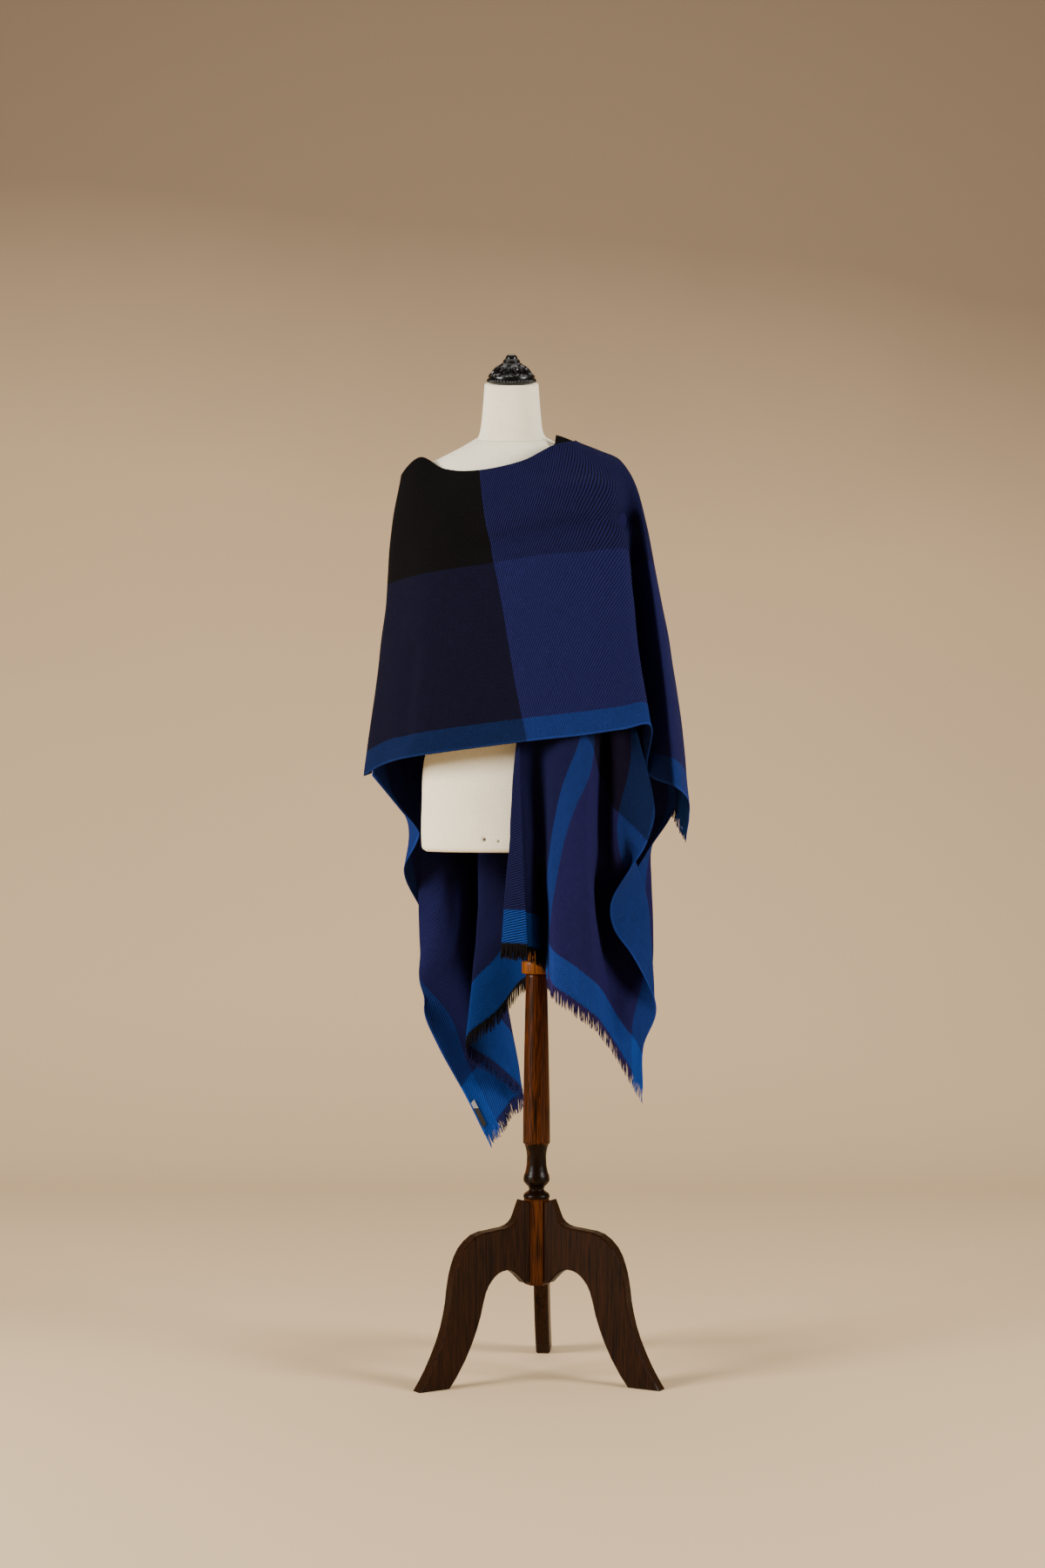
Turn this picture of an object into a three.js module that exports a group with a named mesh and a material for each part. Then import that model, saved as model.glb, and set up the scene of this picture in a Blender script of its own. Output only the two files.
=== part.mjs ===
// A ruana: one rectangle of checked twill with an open front slit, worn over the shoulders.
// It hangs on a limbless dress form that stands on a turned wooden pole and a sawn tripod.
// Millimetres, +Z up, the front looks along -Y, +X is the wearer's left.
import * as THREE from 'three';

// ---------------------------------------------------------------- driving sizes
const CLOTH_WALL = 2;          // thickness of the twill, with its nap
const FRINGE_LENGTH = 20;      // free warp ends past each hem
const FRINGE_PITCH = 9.5;      // one strand every so often along a hem
const FRINGE_BACKING = 3.5;    // height of the strip that holds the strands
const FRINGE_PART = 2.5;         // the strip stands this far off the cloth's edge
const LABEL_WALL = 0.8;        // folded tape
const LABEL_PATCH = { across: [0.15, 0.75], down: [16.6, 17.75], steps: 4, lift: 2.2 };
const PIECE_GAP = 0.3;         // free space where two pieces meet

const AXIS_X = 4;              // the pole's axis, left of the leaning form's middle
const FORM_BOTTOM = 860;       // underside of the linen torso
const POLE_TOP = 680;          // top of the turned pole's collar
const HUB_TOP = 292;
const HUB_BOTTOM = 150;
const HUB_RADIUS = 18;         // from the axis to a flat of the six-sided hub
const BOARD = 24;              // thickness of the leg boards
const BOARD_CHAMFER = 2.5;

const LINEN = { color: 0xdcd5c3, roughness: 0.9, metalness: 0 };
const WALNUT = { color: 0x3b2417, roughness: 0.35, metalness: 0 };
const PINE = { color: 0x8a5a2c, roughness: 0.5, metalness: 0 };
const BLACK_GLOSS = { color: 0x0b0b0a, roughness: 0.2, metalness: 0 };
const NAVY_TWILL = { color: 0x1a2150, roughness: 0.85, metalness: 0 };
const PURPLE_TWILL = { color: 0x26224a, roughness: 0.85, metalness: 0 };
const BLUE_TWILL = { color: 0x123a7c, roughness: 0.85, metalness: 0 };
const FRINGE_YARN = { color: 0x1d1a3c, roughness: 0.9, metalness: 0 };
const LABEL_TAPE = { color: 0x16140f, roughness: 0.8, metalness: 0 };

// ---------------------------------------------------------------- tables
const NECK_TILT = 0.22;        // the neck leans forward: its sections slope by this angle

// Sections of the torso: height, middle, half width, depth to the front and to the back; those
// of the sloping shoulders tilt forward too.
const TORSO_SECTIONS = [
  { z: 860, x: -14, half: 163, front: 102, back: 106 },
  { z: 866, x: -14, half: 170, front: 107, back: 112 },
  { z: 940, x: -15, half: 169, front: 106, back: 116 },
  { z: 1010, x: -18, half: 162, front: 98, back: 110 },
  { z: 1120, x: -21, half: 128, front: 84, back: 90 },
  { z: 1220, x: -24, half: 142, front: 98, back: 92 },
  { z: 1300, x: -27, half: 160, front: 108, back: 98 },
  { z: 1370, x: -29, half: 172, front: 102, back: 100 },
  { z: 1430, x: -30, half: 177, front: 82, back: 96 },
  { z: 1462, x: -31, half: 174, front: 70, back: 83 },
  { z: 1478, x: -32, half: 167, front: 64, back: 78 },
  { z: 1492, x: -33, half: 146, front: 60, back: 72, tilt: 0.05 },
  { z: 1508, x: -34, half: 113, front: 56, back: 66, tilt: 0.1 },
  { z: 1524, x: -35, half: 81, front: 53, back: 61, tilt: 0.16 },
  { z: 1536, x: -36, half: 60, front: 51, back: 57, tilt: NECK_TILT },
];

const NECK_SECTIONS = [
  { z: 1536.4, x: -36, half: 57, front: 49, back: 55, tilt: NECK_TILT },
  { z: 1546, x: -37, half: 52, front: 48, back: 52, tilt: NECK_TILT },
  { z: 1575, x: -37, half: 48, front: 48, back: 50, tilt: NECK_TILT },
  { z: 1626, x: -37, half: 44, front: 46, back: 46, tilt: NECK_TILT },
];

// Carved cap: height above its underside and radius at the leaf tips.
const CAP_BASE_Z = 1627;
const CAP_LEAVES = 12;
const CAP_LEAF_DEPTH = 1.6;
const CAP_SECTIONS = [
  { up: 0, radius: 37 },
  { up: 4, radius: 39.5 },
  { up: 10, radius: 39.5 },
  { up: 15, radius: 36.5 },
  { up: 19, radius: 34 },
  { up: 27, radius: 27 },
  { up: 33, radius: 17 },
  { up: 37, radius: 13.5 },
  { up: 41, radius: 9 },
  { up: 45, radius: 7.5 },
  { up: 47, radius: 3 },
];

// Turned profile of the pole, from the hub up.
const POLE_PROFILE = [
  { z: HUB_TOP + PIECE_GAP, radius: 22 },
  { z: 299, radius: 20 },
  { z: 305, radius: 12.5 },
  { z: 311, radius: 14 },
  { z: 320, radius: 21.5 },
  { z: 328, radius: 21 },
  { z: 345, radius: 16.5 },
  { z: 359, radius: 15.8 },
  { z: 374, radius: 18 },
  { z: 381, radius: 20.5 },
  { z: 383, radius: 22.3 },
  { z: 440, radius: 21.8 },
  { z: 540, radius: 20 },
  { z: 640, radius: 17.8 },
  { z: 659, radius: 17.5 },
];
const COLLAR_PROFILE = [
  { z: 659 + PIECE_GAP, radius: 22.5 },
  { z: 662, radius: 24.3 },
  { z: POLE_TOP - 3, radius: 24.3 },
  { z: POLE_TOP, radius: 22.5 },
];
const ROD_RADIUS = 14;

// Outline of a leg board: distance from the axis and height, top edge out, then the sawn
// inner edge back to the hub.
const LEG_TOP_EDGE = [
  { out: 30, z: 288 }, { out: 36, z: 274 }, { out: 44, z: 257 }, { out: 60, z: 247 },
  { out: 86, z: 244 }, { out: 118, z: 239 }, { out: 143, z: 219 }, { out: 156, z: 192 },
  { out: 163, z: 162 }, { out: 168, z: 126 }, { out: 180, z: 82 }, { out: 202, z: 35 },
  { out: 224, z: 0 },
];
const LEG_INNER_EDGE = [
  { out: 172, z: 0 }, { out: 140, z: 50 }, { out: 118, z: 101 }, { out: 106, z: 145 },
  { out: 94, z: 166 }, { out: 78, z: 179 }, { out: 58, z: 182 }, { out: 42, z: 173 },
  { out: 27, z: 158 },
];
const LEGS = [
  { name: 'leg_left', turn: 210, askew: 2 },
  { name: 'leg_right', turn: 330, askew: 2 },
  { name: 'leg_back', turn: 90, askew: -4 },
];

// Cloth. Each row is one fold line, given from its upper edge to its lower edge as x, y, z.
// Right front: from the side fold under the wearer's right arm, across the chest, to the hem
// of the tail behind the left arm. Each line runs from the slit edge down to the selvedge.
const RIGHT_FRONT_FOLDS = [
  { fold: 'side seam', line: [
    [-214, 34, 1464], [-224, 34, 1390], [-235, 34, 1240], [-252, 30, 1100], [-268, 22, 988],
  ] },
  { fold: 'arm fold', line: [
    [-217, 4, 1478], [-233, -4, 1385], [-245, -6, 1240], [-263, -8, 1095], [-278, -10, 984],
  ] },
  { fold: 'slit flap', line: [
    [-186, -22, 1503], [-207, -50, 1400], [-219, -60, 1240], [-232, -62, 1110], [-241, -60, 1003],
  ] },
  { fold: 'chest side', line: [
    [-146, -48, 1481], [-160, -96, 1390], [-168, -118, 1250], [-178, -124, 1120], [-186, -122, 1015],
  ] },
  { fold: 'check line', line: [
    [-86, -76, 1476], [-76, -122, 1390], [-52, -150, 1270], [-30, -158, 1140], [-10, -158, 1038],
  ] },
  { fold: 'chest middle', line: [
    [-19, -84, 1490], [4, -128, 1400], [24, -148, 1280], [48, -156, 1150], [72, -154, 1047],
  ] },
  { fold: 'chest left', line: [
    [30, -70, 1516], [66, -112, 1420], [92, -132, 1290], [118, -140, 1160], [140, -138, 1057],
  ] },
  { fold: 'ridge', line: [
    [64, -40, 1527], [126, -72, 1436], [152, -94, 1290], [168, -104, 1160], [187, -108, 1062],
  ] },
  { fold: 'valley', line: [
    [68, -8, 1531], [104, -28, 1511], [136, -36, 1480], [150, -34, 1420], [160, -16, 1290],
    [168, -12, 1140], [186, -18, 988],
  ] },
  { fold: 'arm front', line: [
    [70, 24, 1532], [104, 15, 1517], [142, 2, 1500], [170, -20, 1444], [190, -48, 1310],
    [215, -58, 1110], [228, -54, 966],
  ] },
  { fold: 'arm side', line: [
    [72, 68, 1508], [112, 62, 1498], [148, 54, 1472], [178, 44, 1400], [206, 34, 1290],
    [238, 18, 1100], [253, 8, 944],
  ] },
  { fold: 'tail', line: [
    [70, 112, 1440], [124, 112, 1404], [170, 104, 1330], [206, 84, 1210], [234, 58, 1060],
    [256, 30, 916],
  ] },
  { fold: 'hem', line: [
    [68, 148, 1310], [108, 148, 1240], [162, 132, 1120], [210, 100, 1000], [254, 56, 890],
  ] },
];

// Left front: from the slit edge, turned back over itself, to the waving selvedge. Each line
// runs from the shoulder down to the front hem.
const LEFT_FRONT_FOLDS = [
  { fold: 'slit edge', line: [
    [36, -30, 1538], [24, -80, 1450], [4, -118, 1300], [-14, -126, 1150], [-23, -138, 1036],
    [-19, -150, 872], [-12, -142, 716],
  ] },
  { fold: 'turn', line: [
    [44, -28, 1536], [36, -80, 1450], [14, -117, 1300], [-8, -123, 1150], [-28, -131, 1036],
    [-40, -141, 872], [-52, -130, 717],
  ] },
  { fold: 'under turn', line: [
    [56, -24, 1532], [52, -78, 1450], [28, -116, 1300], [8, -120, 1150], [-19, -124, 1036],
    [-9, -136, 880], [-3, -126, 710],
  ] },
  { fold: 'gap', line: [
    [66, -20, 1528], [64, -76, 1448], [42, -115, 1300], [24, -118, 1150], [10, -116, 1030],
    [13, -115, 880], [13, -112, 852], [16, -64, 792], [18, -60, 690],
  ] },
  { fold: 'first fold edge', line: [
    [74, -18, 1524], [76, -73, 1446], [60, -113, 1300], [50, -122, 1150], [38, -144, 1030],
    [29, -152, 850], [29, -146, 654],
  ] },
  { fold: 'first fold', line: [
    [84, -18, 1518], [90, -50, 1480], [92, -70, 1434], [84, -108, 1290], [76, -124, 1150],
    [69, -143, 1030], [64, -156, 840], [64, -148, 628],
  ] },
  { fold: 'first fold side', line: [
    [96, -16, 1512], [104, -44, 1476], [108, -63, 1430], [102, -99, 1280], [95, -112, 1150],
    [91, -130, 1030], [90, -138, 830], [94, -136, 740], [98, -130, 600],
  ] },
  { fold: 'deep valley', line: [
    [104, -15, 1508], [111, -42, 1475], [115, -60, 1427], [110, -88, 1275], [107, -92, 1150],
    [104, -91, 1020], [104, -88, 880], [103, -84, 852], [100, -42, 785], [110, -92, 680],
    [112, -118, 582],
  ] },
  { fold: 'valley far side', line: [
    [113, -14, 1504], [119, -38, 1473], [122, -54, 1421], [115, -76, 1265], [113, -84, 1150],
    [117, -82, 1020], [118, -78, 880], [117, -74, 852], [116, -40, 785], [122, -84, 670],
    [128, -114, 558],
  ] },
  { fold: 'second fold', line: [
    [122, -12, 1500], [128, -33, 1468], [131, -46, 1424], [126, -66, 1270], [122, -86, 1140],
    [125, -102, 1010], [125, -106, 870], [144, -58, 780], [148, -66, 690], [144, -100, 610],
    [146, -112, 528],
  ] },
  { fold: 'selvedge turn', line: [
    [134, -10, 1493], [141, -22, 1464], [142, -34, 1420], [137, -50, 1260], [138, -74, 1140],
    [150, -100, 1010], [146, -108, 890], [168, -84, 830], [184, -70, 770], [190, -74, 690],
    [187, -94, 640], [164, -110, 575], [160, -112, 506],
  ] },
  { fold: 'selvedge', line: [
    [147, -6, 1484], [151, -14, 1450], [151, -22, 1400], [144, -36, 1250], [146, -60, 1130],
    [168, -98, 1040], [192, -110, 930], [179, -114, 876], [156, -112, 838], [123, -106, 782],
    [127, -104, 739], [157, -108, 696], [190, -110, 632], [194, -112, 602], [174, -116, 551],
    [173, -118, 485],
  ] },
];

// Back: from the wearer's right selvedge round the back to the left selvedge. Each line runs
// from the shoulder or neck edge down to the back hem.
const BACK_FOLDS = [
  { fold: 'right selvedge', line: [
    [-267, 25, 984], [-217, 50, 922], [-191, 50, 890], [-195, 52, 872], [-216, 60, 826],
    [-190, 122, 757], [-166, 140, 690], [-160, 130, 640], [-184, 94, 596], [-163, 90, 538],
    [-112, 80, 446], [-82, 74, 386],
  ] },
  { fold: 'side fold', line: [
    [-259, 30, 1056], [-238, 74, 962], [-213, 98, 925], [-197, 98, 872], [-192, 94, 826],
    [-192, 96, 757], [-190, 102, 690], [-188, 100, 636], [-140, 106, 575], [-106, 100, 505],
    [-58, 86, 415],
  ] },
  { fold: 'side face', line: [
    [-242, 35, 1180], [-228, 96, 1050], [-200, 122, 940], [-158, 104, 850], [-140, 90, 760],
    [-112, 106, 650], [-72, 116, 550], [-40, 102, 438],
  ] },
  { fold: 'inner turn', line: [
    [-231, 37, 1290], [-214, 118, 1140], [-164, 156, 1000], [-106, 186, 880], [-84, 186, 760],
    [-50, 160, 620], [-20, 102, 459],
  ] },
  { fold: 'middle layer', line: [
    [-226, 37, 1372], [-208, 122, 1200], [-146, 160, 1020], [-96, 172, 890], [-84, 150, 770],
    [-70, 108, 640], [-64, 76, 505],
  ] },
  { fold: 'outer turn', line: [
    [-218, 37, 1440], [-198, 126, 1240], [-134, 164, 1050], [-98, 150, 900], [-92, 104, 790],
    [-102, 62, 650], [-112, 42, 549],
  ] },
  { fold: 'front layer', line: [
    [-198, 62, 1470], [-186, 98, 1400], [-158, 138, 1270], [-108, 160, 1080], [-78, 146, 930],
    [-66, 102, 800], [-66, 70, 690], [-64, 52, 592],
  ] },
  { fold: 'right of pole', line: [
    [-128, 90, 1486], [-118, 122, 1400], [-96, 142, 1290], [-56, 152, 1100], [-36, 150, 930],
    [-26, 128, 800], [-22, 98, 642],
  ] },
  { fold: 'back middle', line: [
    [-20, 92, 1496], [-10, 124, 1400], [-4, 134, 1290], [0, 154, 1100], [6, 164, 900], [12, 142, 648],
  ] },
  { fold: 'left of pole', line: [
    [66, 50, 1511], [66, 86, 1450], [66, 112, 1340], [64, 124, 1220], [62, 140, 1060], [58, 146, 900],
    [52, 128, 660],
  ] },
  { fold: 'left trough', line: [
    [90, 32, 1508], [94, 60, 1476], [98, 80, 1436], [98, 100, 1340], [98, 112, 1220], [100, 134, 1060],
    [100, 138, 900], [92, 158, 630],
  ] },
  { fold: 'left fold', line: [
    [116, 17, 1502], [123, 41, 1474], [130, 62, 1430], [134, 80, 1330], [136, 92, 1210],
    [142, 120, 1050], [142, 112, 880], [126, 92, 575],
  ] },
  { fold: 'left inner turn', line: [
    [134, 8, 1495], [148, 36, 1420], [155, 54, 1320], [160, 66, 1200], [174, 98, 1040],
    [172, 112, 860], [136, 128, 570],
  ] },
  { fold: 'left side fold', line: [
    [149, 5, 1486], [157, 16, 1410], [164, 32, 1310], [176, 46, 1190], [208, 72, 1020], [212, 84, 925],
    [196, 92, 865], [199, 96, 740], [194, 96, 630], [166, 86, 545],
  ] },
  { fold: 'left selvedge', line: [
    [154, 2, 1470], [158, 6, 1390], [166, 14, 1300], [182, 26, 1180], [218, 50, 1010], [236, 60, 938],
    [188, 64, 856], [134, 64, 760], [136, 60, 660], [142, 60, 535],
  ] },
];

// ---------------------------------------------------------------- smooth lines and walls
/** Point at distance `at` on cubic pieces through `points`, whose distances are `knots`. */
function pointOn(points, knots, at) {
  const last = points.length - 1;
  let k = 0;
  while (k < last - 1 && at > knots[k + 1]) k += 1;
  const slope = (i) => {
    const a = Math.max(i - 1, 0);
    const b = Math.min(i + 1, last);
    return points[b].clone().sub(points[a]).divideScalar(knots[b] - knots[a]);
  };
  const span = knots[k + 1] - knots[k];
  const t = (at - knots[k]) / span;
  return points[k].clone().multiplyScalar((1 + 2 * t) * (1 - t) ** 2)
    .addScaledVector(slope(k), t * (1 - t) ** 2 * span)
    .addScaledVector(points[k + 1], t * t * (3 - 2 * t))
    .addScaledVector(slope(k + 1), t * t * (t - 1) * span);
}

/** `count` + 1 points at even distances along the smooth line through `corners`. */
function evenly(corners, count) {
  const points = corners.map((c) => new THREE.Vector3(...c));
  const knots = [0];
  for (let i = 1; i < points.length; i += 1) {
    knots.push(knots[i - 1] + points[i].distanceTo(points[i - 1]));
  }
  const total = knots[knots.length - 1];
  return Array.from({ length: count + 1 }, (_, j) => pointOn(points, knots, (total * j) / count));
}

/** Grid of points on a cloth: smooth down each fold line and smooth across the lines. */
function drape(folds, down, between) {
  const lines = folds.map((fold) => evenly(fold.line, down));
  const knots = [0];
  for (let i = 1; i < lines.length; i += 1) {
    const apart = lines[i].reduce((sum, p, j) => sum + p.distanceTo(lines[i - 1][j]), 0);
    knots.push(knots[i - 1] + apart / (down + 1));
  }
  const grid = [];
  for (let i = 0; i < lines.length - 1; i += 1) {
    const steps = i === lines.length - 2 ? between + 1 : between;
    for (let s = 0; s < steps; s += 1) {
      const at = knots[i] + ((knots[i + 1] - knots[i]) * s) / between;
      grid.push(lines[0].map((_, j) => pointOn(lines.map((line) => line[j]), knots, at)));
    }
  }
  return grid;
}

/** Unit normals of a grid, from the differences of neighbouring points. */
function normals(grid) {
  const wide = grid.length - 1;
  const tall = grid[0].length - 1;
  return grid.map((column, i) => column.map((_, j) => {
    const along = grid[Math.min(i + 1, wide)][j].clone().sub(grid[Math.max(i - 1, 0)][j]);
    const downward = grid[i][Math.min(j + 1, tall)].clone().sub(grid[i][Math.max(j - 1, 0)]);
    return along.cross(downward).normalize();
  }));
}

/** Geometry from a vertex list and faces of three or four corners; turned to face outward. */
function solid(vertices, faces) {
  const triangles = [];
  for (const f of faces) {
    triangles.push([f[0], f[1], f[2]]);
    if (f.length === 4) triangles.push([f[0], f[2], f[3]]);
  }
  const volume = triangles.reduce((sum, [a, b, c]) => (
    sum + vertices[a].dot(vertices[b].clone().cross(vertices[c]))), 0);
  const index = triangles.flatMap(([a, b, c]) => (volume > 0 ? [a, b, c] : [a, c, b]));
  const geometry = new THREE.BufferGeometry().setFromPoints(vertices);
  geometry.setIndex(index);
  geometry.computeVertexNormals();
  return geometry;
}

/** Closed wall of even thickness round a grid of points. */
function wall(grid, thickness) {
  const wide = grid.length;
  const tall = grid[0].length;
  const out = normals(grid);
  const vertices = [];
  for (const side of [0.5, -0.5]) {
    grid.forEach((column, i) => column.forEach((p, j) => {
      vertices.push(p.clone().addScaledVector(out[i][j], side * thickness));
    }));
  }
  const at = (side, i, j) => side * wide * tall + i * tall + j;
  const faces = [];
  for (let i = 0; i < wide - 1; i += 1) {
    for (let j = 0; j < tall - 1; j += 1) {
      faces.push([at(0, i, j), at(0, i, j + 1), at(0, i + 1, j + 1), at(0, i + 1, j)]);
      faces.push([at(1, i, j), at(1, i + 1, j), at(1, i + 1, j + 1), at(1, i, j + 1)]);
    }
    faces.push([at(0, i, 0), at(0, i + 1, 0), at(1, i + 1, 0), at(1, i, 0)]);
    faces.push([at(0, i, tall - 1), at(1, i, tall - 1), at(1, i + 1, tall - 1), at(0, i + 1, tall - 1)]);
  }
  for (let j = 0; j < tall - 1; j += 1) {
    faces.push([at(0, 0, j), at(1, 0, j), at(1, 0, j + 1), at(0, 0, j + 1)]);
    faces.push([at(0, wide - 1, j), at(0, wide - 1, j + 1), at(1, wide - 1, j + 1), at(1, wide - 1, j)]);
  }
  return solid(vertices, faces);
}

/** Closed solid through rings of `around` points each, closed by a fan at both ends. */
function stackedRings(rings) {
  const around = rings[0].length;
  const vertices = rings.flat();
  const faces = [];
  for (let r = 0; r < rings.length - 1; r += 1) {
    for (let a = 0; a < around; a += 1) {
      const b = (a + 1) % around;
      faces.push([r * around + a, r * around + b, (r + 1) * around + b, (r + 1) * around + a]);
    }
  }
  for (const r of [0, rings.length - 1]) {
    const first = r * around;
    const middle = vertices.length;
    vertices.push(rings[r].reduce((sum, p) => sum.add(p), new THREE.Vector3()).divideScalar(around));
    for (let a = 0; a < around; a += 1) {
      const b = (a + 1) % around;
      faces.push(r === 0 ? [middle, b, a] : [middle, first + a, first + b]);
    }
  }
  return solid(vertices, faces);
}

/** Ring of a body section: an oval whose front and back depths differ. */
function bodyRing(section, around) {
  return Array.from({ length: around }, (_, a) => {
    const turn = (2 * Math.PI * a) / around;
    const depth = Math.sin(turn) < 0 ? section.front : section.back;
    const y = depth * Math.sin(turn);
    const lift = y * Math.tan(section.tilt ?? 0);
    return new THREE.Vector3(section.x + section.half * Math.cos(turn), y, section.z + lift);
  });
}

/** Solid turned about the pole's axis from a profile of heights and radii. */
function turned(profile, around) {
  const rings = profile.map(({ z, radius }) => Array.from({ length: around }, (_, a) => {
    const turn = (2 * Math.PI * a) / around;
    return new THREE.Vector3(AXIS_X + radius * Math.cos(turn), radius * Math.sin(turn), z);
  }));
  return stackedRings(rings);
}

// ---------------------------------------------------------------- pieces
const part = new THREE.Group();

function add(name, geometry, finish) {
  const mesh = new THREE.Mesh(geometry, new THREE.MeshStandardMaterial(finish));
  mesh.name = name;
  part.add(mesh);
  return mesh;
}

/** Six-sided column that the three boards are joined to; its flats face the boards. */
function hub() {
  const corner = HUB_RADIUS / Math.cos(Math.PI / 6);
  const ring = (z, size) => Array.from({ length: 6 }, (_, a) => {
    const turn = (Math.PI / 3) * a;
    return new THREE.Vector3(AXIS_X + size * Math.cos(turn), size * Math.sin(turn), z);
  });
  return stackedRings([ring(HUB_BOTTOM, corner - 2), ring(HUB_BOTTOM + 3, corner), ring(HUB_TOP, corner)]);
}

/** Board sawn to the leg's outline with chamfered edges, standing in a plane through the axis.
 *  A board set a few degrees askew starts that much further from the hub's flat. */
function leg(askew) {
  const outline = new THREE.Shape();
  const smooth = (edge) => new THREE.SplineCurve(edge.map((p) => new THREE.Vector2(p.out, p.z)));
  const corner = (BOARD / 2) * Math.sin(Math.abs(askew));
  const start = HUB_RADIUS + PIECE_GAP + corner + BOARD_CHAMFER;
  outline.moveTo(start, LEG_TOP_EDGE[0].z - BOARD_CHAMFER);
  for (const edge of [LEG_TOP_EDGE, LEG_INNER_EDGE]) {
    for (const p of smooth(edge).getPoints(edge.length * 2)) {
      outline.lineTo(Math.max(p.x, start), Math.max(p.y, BOARD_CHAMFER));
    }
  }
  outline.lineTo(start, LEG_INNER_EDGE[LEG_INNER_EDGE.length - 1].z);
  const board = new THREE.ExtrudeGeometry(outline, {
    depth: BOARD - 2 * BOARD_CHAMFER,
    curveSegments: 1,
    bevelEnabled: true,
    bevelSegments: 1,
    bevelSize: BOARD_CHAMFER,
    bevelThickness: BOARD_CHAMFER,
  });
  board.translate(0, 0, -(BOARD / 2 - BOARD_CHAMFER));
  board.rotateX(Math.PI / 2);
  // The chamfer stops short at the sharp toe, so the underside is planed flat.
  const points = board.attributes.position;
  for (let i = 0; i < points.count; i += 1) {
    if (points.getZ(i) < BOARD_CHAMFER - 0.1) points.setZ(i, 0);
  }
  return board;
}

/** Cap with a ring of carved leaves: each section's radius dips between the leaves. */
function neckCap() {
  const around = CAP_LEAVES * 4;
  const rings = CAP_SECTIONS.map(({ up, radius }) => {
    const dip = radius > 10 && up > 12 ? CAP_LEAF_DEPTH : 0;
    return Array.from({ length: around }, (_, a) => {
      const turn = (2 * Math.PI * a) / around;
      const r = radius - dip * (0.5 - 0.5 * Math.cos(CAP_LEAVES * turn));
      return new THREE.Vector3(r * Math.cos(turn), r * Math.sin(turn), up);
    });
  });
  const geometry = stackedRings(rings);
  geometry.rotateX(NECK_TILT);
  geometry.translate(-37, 0, CAP_BASE_Z);
  return geometry;
}

/** Grid of points on part of a cloth, moved off its inner face. Places are in grid steps. */
function patch(grid, { across, down, steps, lift }) {
  const out = normals(grid);
  const blend = (table, u, v) => {
    const [i, j] = [Math.floor(u), Math.floor(v)];
    const upper = table[i][j].clone().lerp(table[i + 1][j], u - i);
    return upper.lerp(table[i][j + 1].clone().lerp(table[i + 1][j + 1], u - i), v - j);
  };
  const towardFront = Math.sign(-out[Math.round(across[0])][Math.round(down[0])].y);
  const place = ([from, to], k) => from + ((to - from) * k) / steps;
  return Array.from({ length: steps + 1 }, (_, a) => Array.from({ length: steps + 1 }, (__, b) => {
    const [u, v] = [place(across, a), place(down, b)];
    return blend(grid, u, v).addScaledVector(blend(out, u, v).normalize(), towardFront * lift);
  }));
}

/** Comb of pointed strands below a hem: a backing strip just under the cloth's edge, with one
 *  strand per pitch that follows the cloth and sags towards the ground. */
function fringe(grid) {
  const tall = grid[0].length;
  const hem = grid.map((column) => column[tall - 1].toArray());
  const length = hem.reduce((sum, p, i) => (
    i ? sum + Math.hypot(p[0] - hem[i - 1][0], p[1] - hem[i - 1][1], p[2] - hem[i - 1][2]) : 0), 0);
  const count = Math.round(length / FRINGE_PITCH);
  const edge = evenly(hem, count);
  const inner = evenly(grid.map((column) => column[tall - 2].toArray()), count);
  const reach = edge.map((p, i) => {
    const way = p.clone().sub(inner[i]).normalize();
    way.z -= 0.35;
    return way.normalize();
  });
  const across = edge.map((_, i) => (
    edge[Math.min(i + 1, count)].clone().sub(edge[Math.max(i - 1, 0)]).normalize()));
  const face = edge.map((_, i) => across[i].clone().cross(reach[i]).normalize());
  const spot = (i, side, distance, shift = 0) => edge[i].clone()
    .addScaledVector(reach[i], distance)
    .addScaledVector(across[i], shift)
    .addScaledVector(face[i], side * CLOTH_WALL * 0.5);
  const vertices = [];
  const put = (point) => vertices.push(point) - 1;
  const lower = FRINGE_PART + FRINGE_BACKING;
  const rows = edge.map((_, i) => [0.5, -0.5].map((side) => {
    const row = { top: put(spot(i, side, FRINGE_PART)), foot: put(spot(i, side, lower)) };
    if (i === count) return row;
    const reached = FRINGE_LENGTH * (0.95 + 0.1 * Math.sin(2.4 * i));
    row.root = put(spot(i, side, lower).lerp(spot(i + 1, side, lower), 0.45));
    row.tip = put(spot(i, side * 0.5, reached, 1.5 * Math.sin(5 * i)));
    return row;
  }));
  const faces = [];
  for (let i = 0; i < count; i += 1) {
    const [a, b] = rows[i];
    const [c, d] = rows[i + 1];
    faces.push([a.top, a.foot, a.root], [a.top, a.root, c.foot, c.top], [a.foot, a.tip, a.root]);
    faces.push([b.top, b.root, b.foot], [b.top, d.top, d.foot, b.root], [b.foot, b.root, b.tip]);
    faces.push([a.top, c.top, d.top, b.top], [a.root, b.root, d.foot, c.foot]);
    faces.push([a.foot, b.foot, b.tip, a.tip], [a.tip, b.tip, b.root, a.root]);
  }
  const [a, b] = rows[0];
  const [c, d] = rows[count];
  faces.push([a.top, b.top, b.foot, a.foot], [c.top, c.foot, d.foot, d.top]);
  return solid(vertices, faces);
}

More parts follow.
